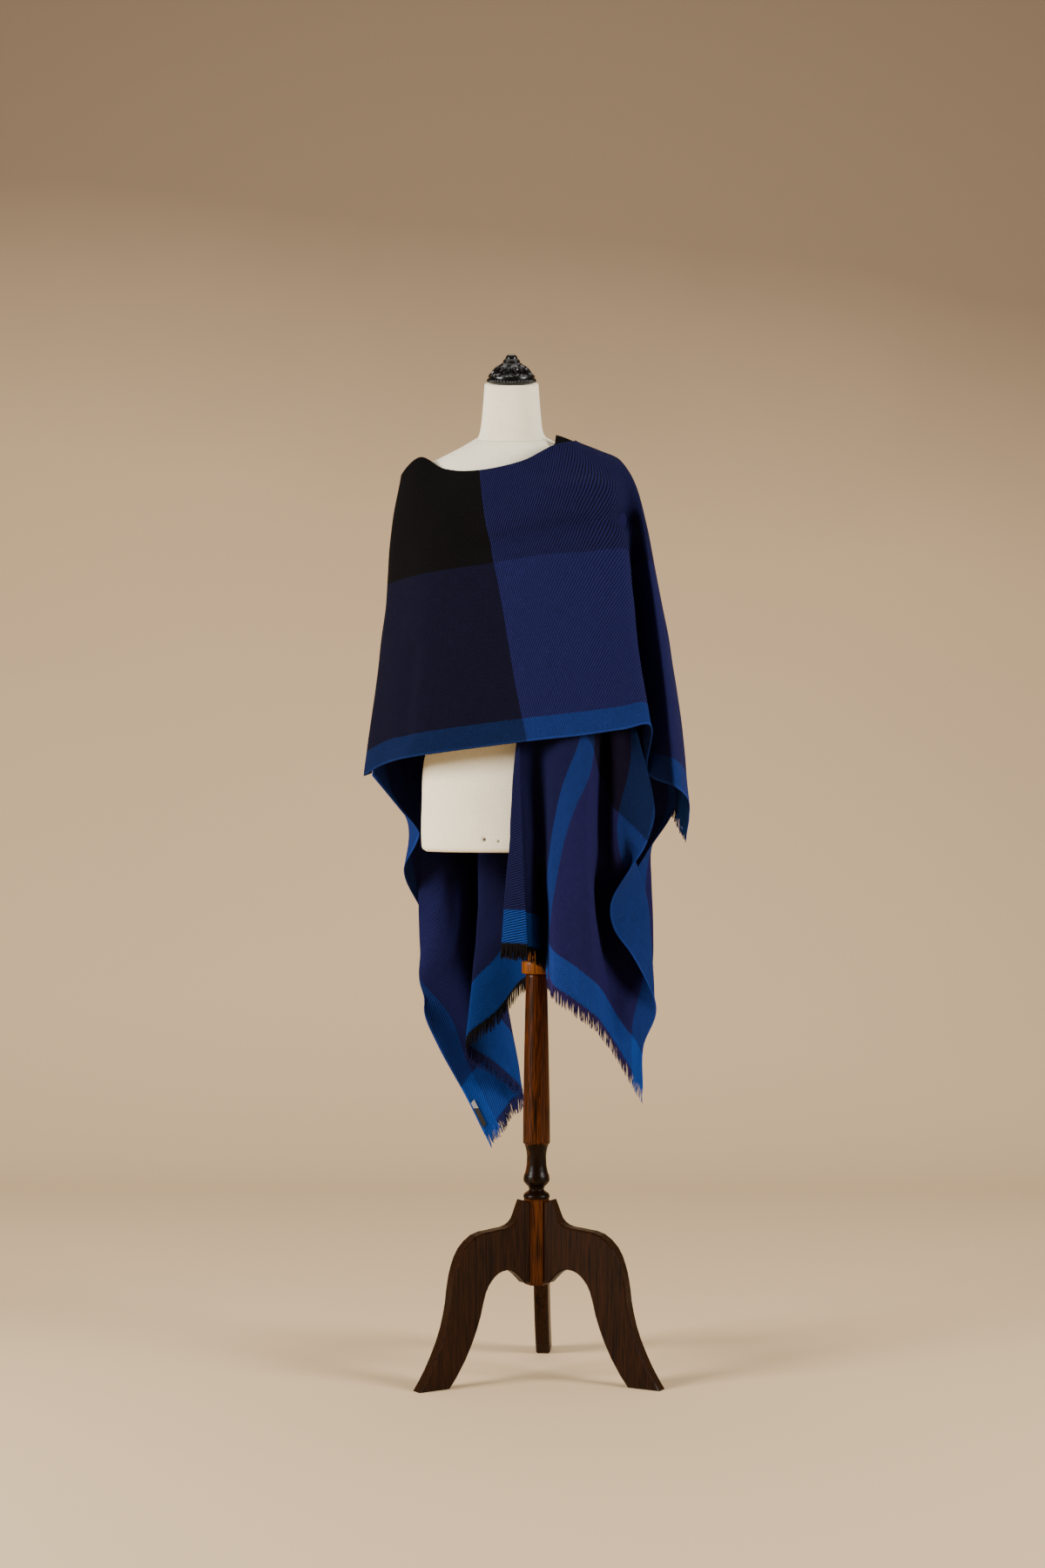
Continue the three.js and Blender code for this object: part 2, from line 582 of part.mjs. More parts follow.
// Stand
add('hub', hub(), WALNUT);
for (const { name, turn, askew } of LEGS) {
  const mesh = add(name, leg(THREE.MathUtils.degToRad(askew)), WALNUT);
  mesh.position.x = AXIS_X;
  mesh.rotation.z = THREE.MathUtils.degToRad(turn + askew);
}
add('pole', turned(POLE_PROFILE, 20), WALNUT);
add('collar', turned(COLLAR_PROFILE, 20), PINE);
add('inner_rod', turned([
  { z: POLE_TOP + PIECE_GAP, radius: ROD_RADIUS },
  { z: FORM_BOTTOM - PIECE_GAP, radius: ROD_RADIUS },
], 16), PINE);

// Dress form
add('torso', stackedRings(TORSO_SECTIONS.map((s) => bodyRing(s, 32))), LINEN);
add('neck', stackedRings(NECK_SECTIONS.map((s) => bodyRing(s, 24))), LINEN);
add('neck_cap', neckCap(), BLACK_GLOSS);

// Cloth
const rightFront = drape(RIGHT_FRONT_FOLDS, 13, 3);
const leftFront = drape(LEFT_FRONT_FOLDS, 20, 3);
const back = drape(BACK_FOLDS, 18, 3);
// The tail's hem is the last fold line, so its columns run on from the line before it.
const [beforeHem, tailHem] = rightFront.slice(-2);
add('right_front_panel', wall(rightFront, CLOTH_WALL), NAVY_TWILL);
add('left_front_panel', wall(leftFront, CLOTH_WALL), PURPLE_TWILL);
add('back_panel', wall(back, CLOTH_WALL), BLUE_TWILL);
add('right_front_fringe', fringe(tailHem.map((p, j) => [beforeHem[j], p])), FRINGE_YARN);
add('left_front_fringe', fringe(leftFront), FRINGE_YARN);
add('back_fringe', fringe(back), FRINGE_YARN);
add('care_label', wall(patch(back, LABEL_PATCH), LABEL_WALL), LABEL_TAPE);

// The middle of the box's underside is the origin.
part.updateMatrixWorld(true);
const box = new THREE.Box3().setFromObject(part, true);
part.position.set(-(box.min.x + box.max.x) / 2, -(box.min.y + box.max.y) / 2, -box.min.z);

export default part;
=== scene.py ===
"""Ruana on a limbless dress form and tripod stand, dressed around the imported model.

Lengths in the tables are millimetres in the cutting frame, whose x = 4, y = 0 is the pole's
axis, z = 0 the floor, -Y the front and +X the wearer's left. Everything else is in metres.
"""
import math
from collections import namedtuple

import bpy
import numpy as np
from bpy.props import FloatProperty, FloatVectorProperty, IntProperty, PointerProperty
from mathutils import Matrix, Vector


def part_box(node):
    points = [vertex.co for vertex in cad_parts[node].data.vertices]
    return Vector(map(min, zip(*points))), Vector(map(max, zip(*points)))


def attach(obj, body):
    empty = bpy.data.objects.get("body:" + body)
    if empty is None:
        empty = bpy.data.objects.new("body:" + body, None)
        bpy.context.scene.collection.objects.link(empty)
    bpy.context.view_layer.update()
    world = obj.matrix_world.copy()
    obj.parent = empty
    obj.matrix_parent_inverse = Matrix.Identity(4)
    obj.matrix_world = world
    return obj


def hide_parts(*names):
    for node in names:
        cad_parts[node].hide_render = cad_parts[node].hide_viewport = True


bl_info = {
    "name": "Ruana on a dress form",
    "version": (1, 0, 0),
    "blender": (4, 5, 0),
    "location": "View3D > Sidebar > Ruana",
    "description": "Builds a checked twill ruana draped on a dress form and its stand",
    "category": "Object",
}

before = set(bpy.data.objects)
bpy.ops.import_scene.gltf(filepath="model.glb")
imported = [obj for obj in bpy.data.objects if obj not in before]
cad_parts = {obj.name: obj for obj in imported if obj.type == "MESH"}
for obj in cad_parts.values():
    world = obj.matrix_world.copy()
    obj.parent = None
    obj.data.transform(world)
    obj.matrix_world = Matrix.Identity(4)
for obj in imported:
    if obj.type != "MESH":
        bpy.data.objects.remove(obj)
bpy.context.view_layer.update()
MM = 0.001
POLE_X = 4.0                 # the pole's axis in the cutting frame
ROD_LOW, ROD_HIGH = (np.array(corner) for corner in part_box("inner_rod"))
ROD_AXIS = (ROD_LOW + ROD_HIGH) / 2
# What the cutting frame is moved by to stand in the row frame.
SHIFT = np.array([ROD_AXIS[0] / MM - POLE_X, ROD_AXIS[1] / MM, 0.0])

# ------------------------------------------------------------------ the cloth, as it was woven
CLOTH_WIDTH = 960.0          # selvedge to selvedge
CLOTH_LENGTH = 1730.0        # front hem to back hem, without the fringe
FRONT_HEM, BACK_HEM = 0.0, CLOTH_LENGTH
CORD_WIDTH = 3.0             # the closer strip at both selvedges, painted brighter as a highlight
RIB_SLANT = 1.8              # how far a rib moves across for each mm along the cloth
HEX = {
    "black": "#0a0809", "navy": "#17183f", "purple": "#1f1640", "blue": "#153679",
}
# Stripes of warp, from the wearer's right selvedge: where each starts, and its yarn.
WARP_STRIPES = [(0, "blue"), (38, "navy"), (298, "black"), (618, "blue"), (656, "purple"),
                (868, "blue")]
# Bands of weft, from the front hem: where each starts, and its yarn.
WEFT_BANDS = [(0, "blue"), (50, "navy"), (430, "black"), (880, "navy"), (1640, "blue")]

# ------------------------------------------------------------------ fold tables
# A row is a fold line: its distances across the cloth and along it, from the line's start to
# its end, and the points that it passes through. Distances are spread evenly over the line,
# or belong to its points where there are as many. A line whose distance along is only a hem
# follows the warp down to that hem.
Fold = namedtuple("Fold", "name across along line")
# Right front: from the side fold under the wearer's right arm, over the chest, to the tail's
# hem behind the left arm. Each line runs from the slit edge down to the selvedge.
RIGHT_FRONT_FOLDS = [
    Fold("side seam", (458, 225, 0), (590, 770), [
        (-214, 34, 1464), (-224, 34, 1390), (-235, 34, 1240), (-252, 30, 1100), (-268, 22, 988)]),
    Fold("arm fold", (458, 242, 0), (566, 742), [
        (-217, 4, 1478), (-233, -4, 1385), (-245, -6, 1240), (-263, -8, 1095), (-278, -10, 984)]),
    Fold("slit flap", (458, 262, 0), (540, 690), [
        (-186, -22, 1503), (-207, -50, 1400), (-219, -60, 1240), (-232, -62, 1110),
        (-241, -60, 1003)]),
    Fold("chest side", (458, 252, 0), (492, 620), [
        (-146, -48, 1481), (-160, -96, 1390), (-168, -118, 1250), (-178, -124, 1120),
        (-186, -122, 1015)]),
    Fold("check line", (458, 243, 0), (430, 430), [
        (-86, -76, 1476), (-76, -122, 1390), (-52, -150, 1270), (-30, -158, 1140),
        (-10, -158, 1038)]),
    Fold("chest middle", (458, 242, 0), (352, 346), [
        (-19, -84, 1490), (4, -128, 1400), (24, -148, 1280), (48, -156, 1150), (72, -154, 1047)]),
    Fold("chest left", (458, 258, 0), (300, 278), [
        (30, -70, 1516), (66, -112, 1420), (92, -132, 1290), (118, -140, 1160), (140, -138, 1057)]),
    Fold("ridge", (458, 264, 0), (262, 232), [
        (64, -40, 1527), (126, -72, 1436), (152, -94, 1290), (168, -104, 1160), (187, -108, 1062)]),
    Fold("valley", (458, 267, 0), (222, 205), [
        (68, -8, 1531), (104, -28, 1511), (136, -36, 1480), (150, -34, 1420), (160, -16, 1290),
        (168, -12, 1140), (186, -18, 988)]),
    Fold("arm front", (458, 264, 0), (170, 150), [
        (70, 24, 1532), (104, 15, 1517), (142, 2, 1500), (170, -20, 1444), (190, -48, 1310),
        (215, -58, 1110), (228, -54, 966)]),
    Fold("arm side", (458, 263, 0), (110, 92), [
        (72, 68, 1508), (112, 62, 1498), (148, 54, 1472), (178, 44, 1400), (206, 34, 1290),
        (238, 18, 1100), (253, 8, 944)]),
    Fold("tail", (458, 229, 0), (48, 40), [
        (70, 112, 1440), (124, 112, 1404), (170, 104, 1330), (206, 84, 1210), (234, 58, 1060),
        (256, 30, 916)]),
    Fold("hem", (458, 229, 0), (0, 0), [
        (68, 148, 1310), (108, 148, 1240), (162, 132, 1120), (210, 100, 1000), (254, 56, 890)]),
]
# Left front: from the slit edge, turned back, to the waving selvedge. Each line runs from the
# shoulder down to the front hem.
LEFT_FRONT_FOLDS = [
    Fold("slit edge", (458, 458), FRONT_HEM, [
        (36, -30, 1538), (24, -80, 1450), (4, -118, 1300), (-14, -126, 1150), (-23, -138, 1036),
        (-19, -150, 872), (-12, -142, 716)]),
    Fold("turn", (478, 480), FRONT_HEM, [
        (44, -28, 1536), (36, -80, 1450), (14, -117, 1300), (-8, -123, 1150), (-28, -131, 1036),
        (-40, -141, 872), (-52, -130, 717)]),
    Fold("under turn", (505, 512), FRONT_HEM, [
        (56, -24, 1532), (52, -78, 1450), (28, -116, 1300), (8, -120, 1150), (-19, -124, 1036),
        (-9, -136, 880), (-3, -126, 710)]),
    Fold("gap", (535, 537, 540, 545, 552, 572, 578, 595, 620), FRONT_HEM, [
        (66, -20, 1528), (64, -76, 1448), (42, -115, 1300), (24, -118, 1150), (10, -116, 1030),
        (13, -115, 880), (13, -112, 852), (16, -64, 792), (18, -60, 690)]),
    Fold("first fold edge", (570, 570, 570, 572, 594, 636, 690), FRONT_HEM, [
        (74, -18, 1524), (76, -73, 1446), (60, -113, 1300), (50, -122, 1150), (38, -144, 1030),
        (29, -152, 850), (29, -146, 654)]),
    Fold("first fold", (620, 620, 620, 612, 606, 622, 690, 722), FRONT_HEM, [
        (84, -18, 1518), (90, -50, 1480), (92, -70, 1434), (84, -108, 1290), (76, -124, 1150),
        (69, -143, 1030), (64, -156, 840), (64, -148, 628)]),
    Fold("first fold side", (665, 665, 665, 655, 645, 648, 716, 735, 750), FRONT_HEM, [
        (96, -16, 1512), (104, -44, 1476), (108, -63, 1430), (102, -99, 1280), (95, -112, 1150),
        (91, -130, 1030), (90, -138, 830), (94, -136, 740), (98, -130, 600)]),
    Fold("deep valley", (705, 705, 705, 700, 690, 688, 725, 732, 750, 765, 780), FRONT_HEM, [
        (104, -15, 1508), (111, -42, 1475), (115, -60, 1427), (110, -88, 1275), (107, -92, 1150),
        (104, -91, 1020), (104, -88, 880), (103, -84, 852), (100, -42, 785), (110, -92, 680),
        (112, -118, 582)]),
    Fold("valley far side", (728, 728, 728, 722, 716, 716, 748, 755, 780, 790, 800), FRONT_HEM, [
        (113, -14, 1504), (119, -38, 1473), (122, -54, 1421), (115, -76, 1265), (113, -84, 1150),
        (117, -82, 1020), (118, -78, 880), (117, -74, 852), (116, -40, 785), (122, -84, 670),
        (128, -114, 558)]),
    Fold("second fold", (756, 756, 758, 765, 780, 806, 850, 850, 846, 842, 838), FRONT_HEM, [
        (122, -12, 1500), (128, -33, 1468), (131, -46, 1424), (126, -66, 1270), (122, -86, 1140),
        (125, -102, 1010), (125, -106, 870), (144, -58, 780), (148, -66, 690), (144, -100, 610),
        (146, -112, 528)]),
    Fold("selvedge turn", (800, 800, 802, 812, 830, 862, 900, 892, 886, 886, 890, 892, 890),
         FRONT_HEM, [
        (134, -10, 1493), (141, -22, 1464), (142, -34, 1420), (137, -50, 1260), (138, -74, 1140),
        (150, -100, 1010), (146, -108, 890), (168, -84, 830), (184, -70, 770), (190, -74, 690),
        (187, -94, 640), (164, -110, 575), (160, -112, 506)]),
    Fold("selvedge", (850, 852, 856, 872, 885, 905, 960, 960, 960, 960, 960, 960, 960, 960, 960, 960),
         FRONT_HEM, [
        (147, -6, 1484), (151, -14, 1450), (151, -22, 1400), (144, -36, 1250), (146, -60, 1130),
        (168, -98, 1040), (192, -110, 930), (179, -114, 876), (156, -112, 838), (123, -106, 782),
        (127, -104, 739), (157, -108, 696), (190, -110, 632), (194, -112, 602), (174, -116, 551),
        (173, -118, 485)]),
]
# Back: from the wearer's right selvedge round to the left selvedge. Each line runs from the
# shoulder or neck edge down to the back hem.
BACK_FOLDS = [
    Fold("right selvedge", (0, 0), BACK_HEM, [
        (-267, 25, 984), (-217, 50, 922), (-191, 50, 890), (-195, 52, 872), (-216, 60, 826),
        (-190, 122, 757), (-166, 140, 690), (-160, 130, 640), (-184, 94, 596), (-163, 90, 538),
        (-112, 80, 446), (-82, 74, 386)]),
    Fold("side fold", (30, 45, 60, 70, 75, 75, 60, 38, 37, 46, 50), BACK_HEM, [
        (-259, 30, 1056), (-238, 74, 962), (-213, 98, 925), (-197, 98, 872), (-192, 94, 826),
        (-192, 96, 757), (-190, 102, 690), (-188, 100, 636), (-140, 106, 575), (-106, 100, 505),
        (-58, 86, 415)]),
    Fold("side face", (75, 90), BACK_HEM, [
        (-242, 35, 1180), (-228, 96, 1050), (-200, 122, 940), (-158, 104, 850), (-140, 90, 760),
        (-112, 106, 650), (-72, 116, 550), (-40, 102, 438)]),
    Fold("inner turn", (120, 140, 146), BACK_HEM, [
        (-231, 37, 1290), (-214, 118, 1140), (-164, 156, 1000), (-106, 186, 880), (-84, 186, 760),
        (-50, 160, 620), (-20, 102, 459)]),
    Fold("middle layer", (160, 210, 222), BACK_HEM, [
        (-226, 37, 1372), (-208, 122, 1200), (-146, 160, 1020), (-96, 172, 890), (-84, 150, 770),
        (-70, 108, 640), (-64, 76, 505)]),
    Fold("outer turn", (200, 292, 300), BACK_HEM, [
        (-218, 37, 1440), (-198, 126, 1240), (-134, 164, 1050), (-98, 150, 900), (-92, 104, 790),
        (-102, 62, 650), (-112, 42, 549)]),
    Fold("front layer", (240, 335, 345), BACK_HEM, [
        (-198, 62, 1470), (-186, 98, 1400), (-158, 138, 1270), (-108, 160, 1080), (-78, 146, 930),
        (-66, 102, 800), (-66, 70, 690), (-64, 52, 592)]),
    Fold("right of pole", (310, 390, 400), BACK_HEM, [
        (-128, 90, 1486), (-118, 122, 1400), (-96, 142, 1290), (-56, 152, 1100), (-36, 150, 930),
        (-26, 128, 800), (-22, 98, 642)]),
    Fold("back middle", (430, 450), BACK_HEM, [
        (-20, 92, 1496), (-10, 124, 1400), (-4, 134, 1290), (0, 154, 1100), (6, 164, 900),
        (12, 142, 648)]),
    Fold("left of pole", (530, 520), BACK_HEM, [
        (66, 50, 1511), (66, 86, 1450), (66, 112, 1340), (64, 124, 1220), (62, 140, 1060),
        (58, 146, 900), (52, 128, 660)]),
    Fold("left trough", (590, 600), BACK_HEM, [
        (90, 32, 1508), (94, 60, 1476), (98, 80, 1436), (98, 100, 1340), (98, 112, 1220),
        (100, 134, 1060), (100, 138, 900), (92, 158, 630)]),
    Fold("left fold", (650, 680), BACK_HEM, [
        (116, 17, 1502), (123, 41, 1474), (130, 62, 1430), (134, 80, 1330), (136, 92, 1210),
        (142, 120, 1050), (142, 112, 880), (126, 92, 575)]),
    Fold("left inner turn", (720, 770), BACK_HEM, [
        (134, 8, 1495), (148, 36, 1420), (155, 54, 1320), (160, 66, 1200), (174, 98, 1040),
        (172, 112, 860), (136, 128, 570)]),
    Fold("left side fold", (790, 860), BACK_HEM, [
        (149, 5, 1486), (157, 16, 1410), (164, 32, 1310), (176, 46, 1190), (208, 72, 1020),
        (212, 84, 925), (196, 92, 865), (199, 96, 740), (194, 96, 630), (166, 86, 545)]),
    Fold("left selvedge", (870, 960), BACK_HEM, [
        (154, 2, 1470), (158, 6, 1390), (166, 14, 1300), (182, 26, 1180), (218, 50, 1010),
        (236, 60, 938), (188, 64, 856), (134, 64, 760), (136, 60, 660), (142, 60, 535)]),
]

# Soft hollows (inward) and swells (outward) of the wrap's front, seen from the front: start and
# end as x and z, width, and how far the cloth moves in or out.
Dent = namedtuple("Dent", "name start end width depth")
FRONT_DENTS = [
    Dent("hollow under the shoulder", (-70, 1356), (150, 1400), 16, -10),
    Dent("swell of the shoulder", (10, 1440), (120, 1446), 20, 6),
    Dent("hollow of the right arm", (-196, 1180), (-208, 1050), 12, -6),
    Dent("swell beside it", (-222, 1200), (-232, 1050), 14, 3),
    Dent("hollow of the breast", (-105, 1380), (-98, 1350), 26, -7),
]

# ------------------------------------------------------------------ forms of the dress form
# Sections of the torso and neck: height, middle, half width, depth to the front and to the
# back, and the slope forward in radians.
TORSO_SECTIONS = np.array([
    (860, -14, 163, 102, 106, 0), (866, -14, 170, 107, 112, 0), (940, -15, 169, 106, 116, 0),
    (1010, -18, 162, 98, 110, 0), (1120, -21, 128, 84, 90, 0), (1220, -24, 142, 98, 92, 0),
    (1300, -27, 160, 108, 98, 0), (1370, -29, 172, 102, 100, 0), (1430, -30, 177, 82, 96, 0),
    (1462, -31, 174, 70, 83, 0), (1478, -32, 167, 64, 78, 0), (1492, -33, 146, 60, 72, 0.05),
    (1508, -34, 113, 56, 66, 0.1), (1524, -35, 81, 53, 61, 0.16), (1536, -36, 60, 51, 57, 0.22),
], float)
NECK_SECTIONS = np.array([
    (1536.4, -36, 57, 49, 55, 0.22), (1546, -37, 52, 48, 52, 0.22),
    (1575, -37, 48, 48, 50, 0.22), (1626, -37, 44, 46, 46, 0.22),
], float)
NECK_TILT = 0.22
TAPE_FOLD = 429.0            # height of the care label's fold line
CAP_BASE = (-37.0, 0.0, 1627.0)
# Silhouette of the cap: height above its underside and radius.
CAP_PROFILE = np.array([
    (0, 0), (0, 33), (0.4, 36.6), (2.2, 38.9), (4.4, 39.5), (7.4, 39.2), (9, 37.6), (10.2, 38.6),
    (12.6, 38.2), (14.6, 35.6), (17, 32.6), (21, 29.8), (25, 26.2), (29, 21.4), (32, 17.2),
    (33.6, 14.4), (35, 13.9), (36.6, 14.3), (38.2, 12.6), (40, 10.2), (43, 9.4), (45.6, 7.4),
    (46.8, 4), (47, 0),
], float)
# Turned profile of the pole, from the hub up; a repeated height is a crisp edge.
POLE_PROFILE = np.array([
    (292.3, 0), (292.3, 21.4), (293, 22), (296.4, 21.6), (299.4, 19.6), (303, 14.2),
    (304.8, 12.4), (306.4, 12.4), (310.4, 13.8), (315, 18.6), (319.4, 21.5), (320.6, 21.6),
    (324, 21.5), (328, 20.9), (334, 18.6), (345, 16.5), (359, 15.8), (366, 16.4), (374, 18),
    (380.6, 20.4), (381.4, 22.0), (383, 22.3), (440, 21.8), (540, 20), (640, 17.8),
    (658.2, 17.5), (659, 16.8), (659, 0),
], float)
COLLAR_PROFILE = np.array([
    (659.3, 0), (659.3, 22), (660.2, 23.6), (662, 24.3), (677, 24.3), (679.2, 23.6),
    (680, 22), (680, 0),
], float)
ROD_PROFILE = np.array([(680.3, 0), (680.3, 13.6), (681, 14), (859, 14), (859.7, 13.6),
                        (859.7, 0)], float)


# ------------------------------------------------------------------ smooth lines and grids
def smooth(points, knots, at):
    """Points at distances `at` on cubic pieces through `points`, whose distances are `knots`.

    On each piece the value is the cubic whose ends match the points and whose end slopes are
    (next point - last point) / (their distance), one-sided at the two ends.
    """
    points = np.asarray(points, float)
    knots = np.asarray(knots, float)
    last = len(points) - 1
    after = np.minimum(np.arange(last + 1) + 1, last)
    before = np.maximum(np.arange(last + 1) - 1, 0)
    shape = (-1,) + (1,) * (points.ndim - 1)
    slopes = (points[after] - points[before]) / (knots[after] - knots[before]).reshape(shape)
    k = np.clip(np.searchsorted(knots, at, side="right") - 1, 0, last - 1)
    span = (knots[k + 1] - knots[k]).reshape(shape)
    t = (np.asarray(at) - knots[k]).reshape(shape) / span
    return (points[k] * (1 + 2 * t) * (1 - t) ** 2 + slopes[k] * t * (1 - t) ** 2 * span
            + points[k + 1] * t * t * (3 - 2 * t) + slopes[k + 1] * t * t * (t - 1) * span)


def distances(points):
    """Running length of the chords from point to point, starting at 0."""
    steps = np.linalg.norm(np.diff(points, axis=0), axis=-1)
    return np.concatenate([[0.0], np.cumsum(steps)])


def evenly(corners, count):
    """`count` + 1 points at even chord distances on the smooth line through `corners`."""
    corners = np.asarray(corners, float)
    knots = distances(corners)
    return smooth(corners, knots, np.linspace(0, knots[-1], count + 1))


def spread(values, line, t):
    """A fold line's distances on the flat cloth at fractions `t` of its length."""
    knots = distances(line) if len(values) == len(line) else np.linspace(0, 1, len(values))
    return smooth(values, knots, t * knots[-1])


def places_along(fold):
    """A fold line's distances along the cloth: those in its row or, where the row names a hem,
    from the line's length away from that hem, in whole mm, to the hem."""
    if isinstance(fold.along, tuple):
        return fold.along
    length = distances(np.array(fold.line, float))[-1]
    return round(abs(fold.along - length)), fold.along


def drape(folds, down, between):
    """Grid of a cloth from its fold lines, and each grid point's place on the flat cloth.

    Every line is cut into `down` even steps; across the lines the grid is smooth on the mean
    distance between neighbours, with `between` steps from one line to the next. The flat
    place is smooth along the line and from line to line.
    """
    lines = np.array([evenly(fold.line, down) for fold in folds])
    t = np.linspace(0, 1, down + 1)
    flat = np.array([[spread(values, fold.line, t)
                      for values in (fold.across, places_along(fold))]
                     for fold in folds]).transpose(0, 2, 1)
    apart = np.linalg.norm(np.diff(lines, axis=0), axis=2).mean(axis=1)
    knots = np.concatenate([[0.0], np.cumsum(apart)])
    steps = np.arange(between * (len(folds) - 1) + 1)
    k = np.minimum(steps // between, len(folds) - 2)
    at = knots[k] + (knots[k + 1] - knots[k]) * (steps - k * between) / between
    return smooth(lines, knots, at), smooth(flat, knots, at)


def grid_normals(grid):
    """Unit cross product of a grid's differences across and down."""
    normal = np.cross(np.gradient(grid, axis=0), np.gradient(grid, axis=1))
    return normal / np.maximum(np.linalg.norm(normal, axis=2, keepdims=True), 1e-9)


def waves(flat, seed, count, longest, shortest):
    """Soft noise on the flat cloth: the mean of `count` sine waves in random directions, with
    wavelengths between `longest` and `shortest` mm, longer ones stronger."""
    rng = np.random.default_rng(seed)
    turn = rng.uniform(0, math.pi, count)
    length = longest * (shortest / longest) ** rng.uniform(0, 1, count)
    phase = rng.uniform(0, 2 * math.pi, count)
    total = np.zeros(flat.shape[:-1])
    for direction, wavelength, start in zip(turn, length, phase):
        run = flat[..., 0] * math.cos(direction) + flat[..., 1] * math.sin(direction)
        total += np.sin(2 * math.pi * run / wavelength + start) * wavelength / longest
    return total / math.sqrt(count)


# ------------------------------------------------------------------ meshes
def quads(index):
    """Four-cornered faces between the neighbours of a grid of vertex numbers."""
    return np.stack([index[:-1, :-1], index[1:, :-1], index[1:, 1:], index[:-1, 1:]],
                    axis=2).reshape(-1, 4)


def mesh_piece(name, points, faces, material, replaces=(), uv=None):
    """Object at the origin from points in metres and faces of four corners.

    A face whose last two corners are alike is a triangle. `uv` gives each vertex its place on
    the flat cloth in metres.
    """
    points = np.asarray(points, np.float32).reshape(-1, 3)
    faces = np.asarray(faces, np.int32).reshape(-1, 4)
    sizes = np.where(faces[:, 3] == faces[:, 2], 3, 4)
    keep = np.ones(faces.shape, bool)
    keep[:, 3] = sizes == 4
    corners = faces[keep]
    mesh = bpy.data.meshes.new(name)
    mesh.vertices.add(len(points))
    mesh.vertices.foreach_set("co", points.ravel())
    mesh.loops.add(len(corners))
    mesh.loops.foreach_set("vertex_index", corners)
    mesh.polygons.add(len(faces))
    mesh.polygons.foreach_set("loop_start", np.concatenate([[0], np.cumsum(sizes)[:-1]]))
    mesh.polygons.foreach_set("loop_total", sizes)
    mesh.polygons.foreach_set("use_smooth", np.ones(len(faces), bool))
    if uv is not None:
        layer = mesh.uv_layers.new(name="cloth")
        layer.data.foreach_set("uv", np.asarray(uv, np.float32)[corners].ravel())
    mesh.update(calc_edges=True)
    if mesh.validate():
        raise RuntimeError(f"{name}: its faces don't close up")
    piece = bpy.data.objects.new(name, mesh)
    bpy.context.scene.collection.objects.link(piece)
    mesh.materials.append(material)
    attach(piece, "root")
    if replaces:
        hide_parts(*replaces)
    return piece


def outward(points, faces):
    """The faces, turned round if the volume that they close is negative."""
    a, b, c, d = (points[faces[:, k]] for k in range(4))
    volume = np.einsum("ij,ij->", a, np.cross(b, c)) + np.einsum("ij,ij->", a, np.cross(c, d))
    return faces if volume > 0 else faces[:, ::-1]


def shell(grid, flat, thickness):
    """Closed wall round a grid: points, faces and flat places.

    Both sides lie half a thickness off the grid along its normals. One more row all round,
    nearly half a thickness past the edge, closes them with a soft lip.
    """
    wide, tall = grid.shape[:2]
    ring = np.pad(grid, ((1, 1), (1, 1), (0, 0)), mode="edge")
    flat = np.pad(flat, ((1, 1), (1, 1), (0, 0)), mode="edge")
    half = thickness / 2
    for edge, inside in ((np.s_[0, :], np.s_[2, :]), (np.s_[-1, :], np.s_[-3, :]),
                         (np.s_[:, 0], np.s_[:, 2]), (np.s_[:, -1], np.s_[:, -3])):
        way = ring[edge] - ring[inside]
        length = np.maximum(np.linalg.norm(way, axis=-1, keepdims=True), 1e-9)
        ring[edge] = ring[edge] + way / length * half * 0.9
    normal = grid_normals(grid) * half
    front, back = ring.copy(), ring.copy()
    front[1:-1, 1:-1] += normal
    back[1:-1, 1:-1] -= normal
    count = (wide + 2) * (tall + 2)
    index = np.arange(count).reshape(wide + 2, tall + 2)
    other = index + count
    other[[0, -1], :] = index[[0, -1], :]
    other[:, [0, -1]] = index[:, [0, -1]]
    points = np.concatenate([front.reshape(-1, 3), back.reshape(-1, 3)])
    places = np.concatenate([flat.reshape(-1, 2)] * 2)
    faces = np.concatenate([quads(index), quads(other)[:, ::-1]])
    return compact(points, outward(points, faces), places)


def compact(points, faces, places=None):
    """The same faces without the points that none of them uses."""
    used, renumbered = np.unique(faces, return_inverse=True)
    faces = renumbered.reshape(faces.shape)
    return points[used], faces, None if places is None else places[used]


def to_row(points):
    """Millimetres of the cutting frame as metres of the row frame."""
    return (np.asarray(points) + SHIFT) * MM


def closed_rings(rings):
    """Points and faces of a closed skin through rings of points, with a fan at both ends."""
    count, around = rings.shape[:2]
    index = np.arange(count * around).reshape(count, around)
    index = np.concatenate([index, index[:, :1]], axis=1)
    points = np.concatenate([rings.reshape(-1, 3), rings[[0, -1]].mean(axis=1)])
    ends = []
    for row, tip in ((index[0], count * around), (index[-1][::-1], count * around + 1)):
        fan = np.full(around, tip)
        ends.append(np.stack([row[1:], row[:-1], fan, fan], axis=1))
    faces = np.concatenate([quads(index)[:, ::-1], *ends])
    a, b, c = (points[faces[:, k]] for k in range(3))
    volume = np.einsum("ij,ij->", a, np.cross(b, c))
    if volume < 0:
        faces = np.where((faces[:, 3] == faces[:, 2])[:, None], faces[:, [1, 0, 2, 3]],
                         faces[:, ::-1])
    return points, faces


def between_rows(profile, steps):
    """Heights and radii along a profile, with `steps` straight steps from row to row."""
    at = np.linspace(0, len(profile) - 1, steps * (len(profile) - 1) + 1)
    return [np.interp(at, np.arange(len(profile)), profile[:, k]) for k in (0, 1)]


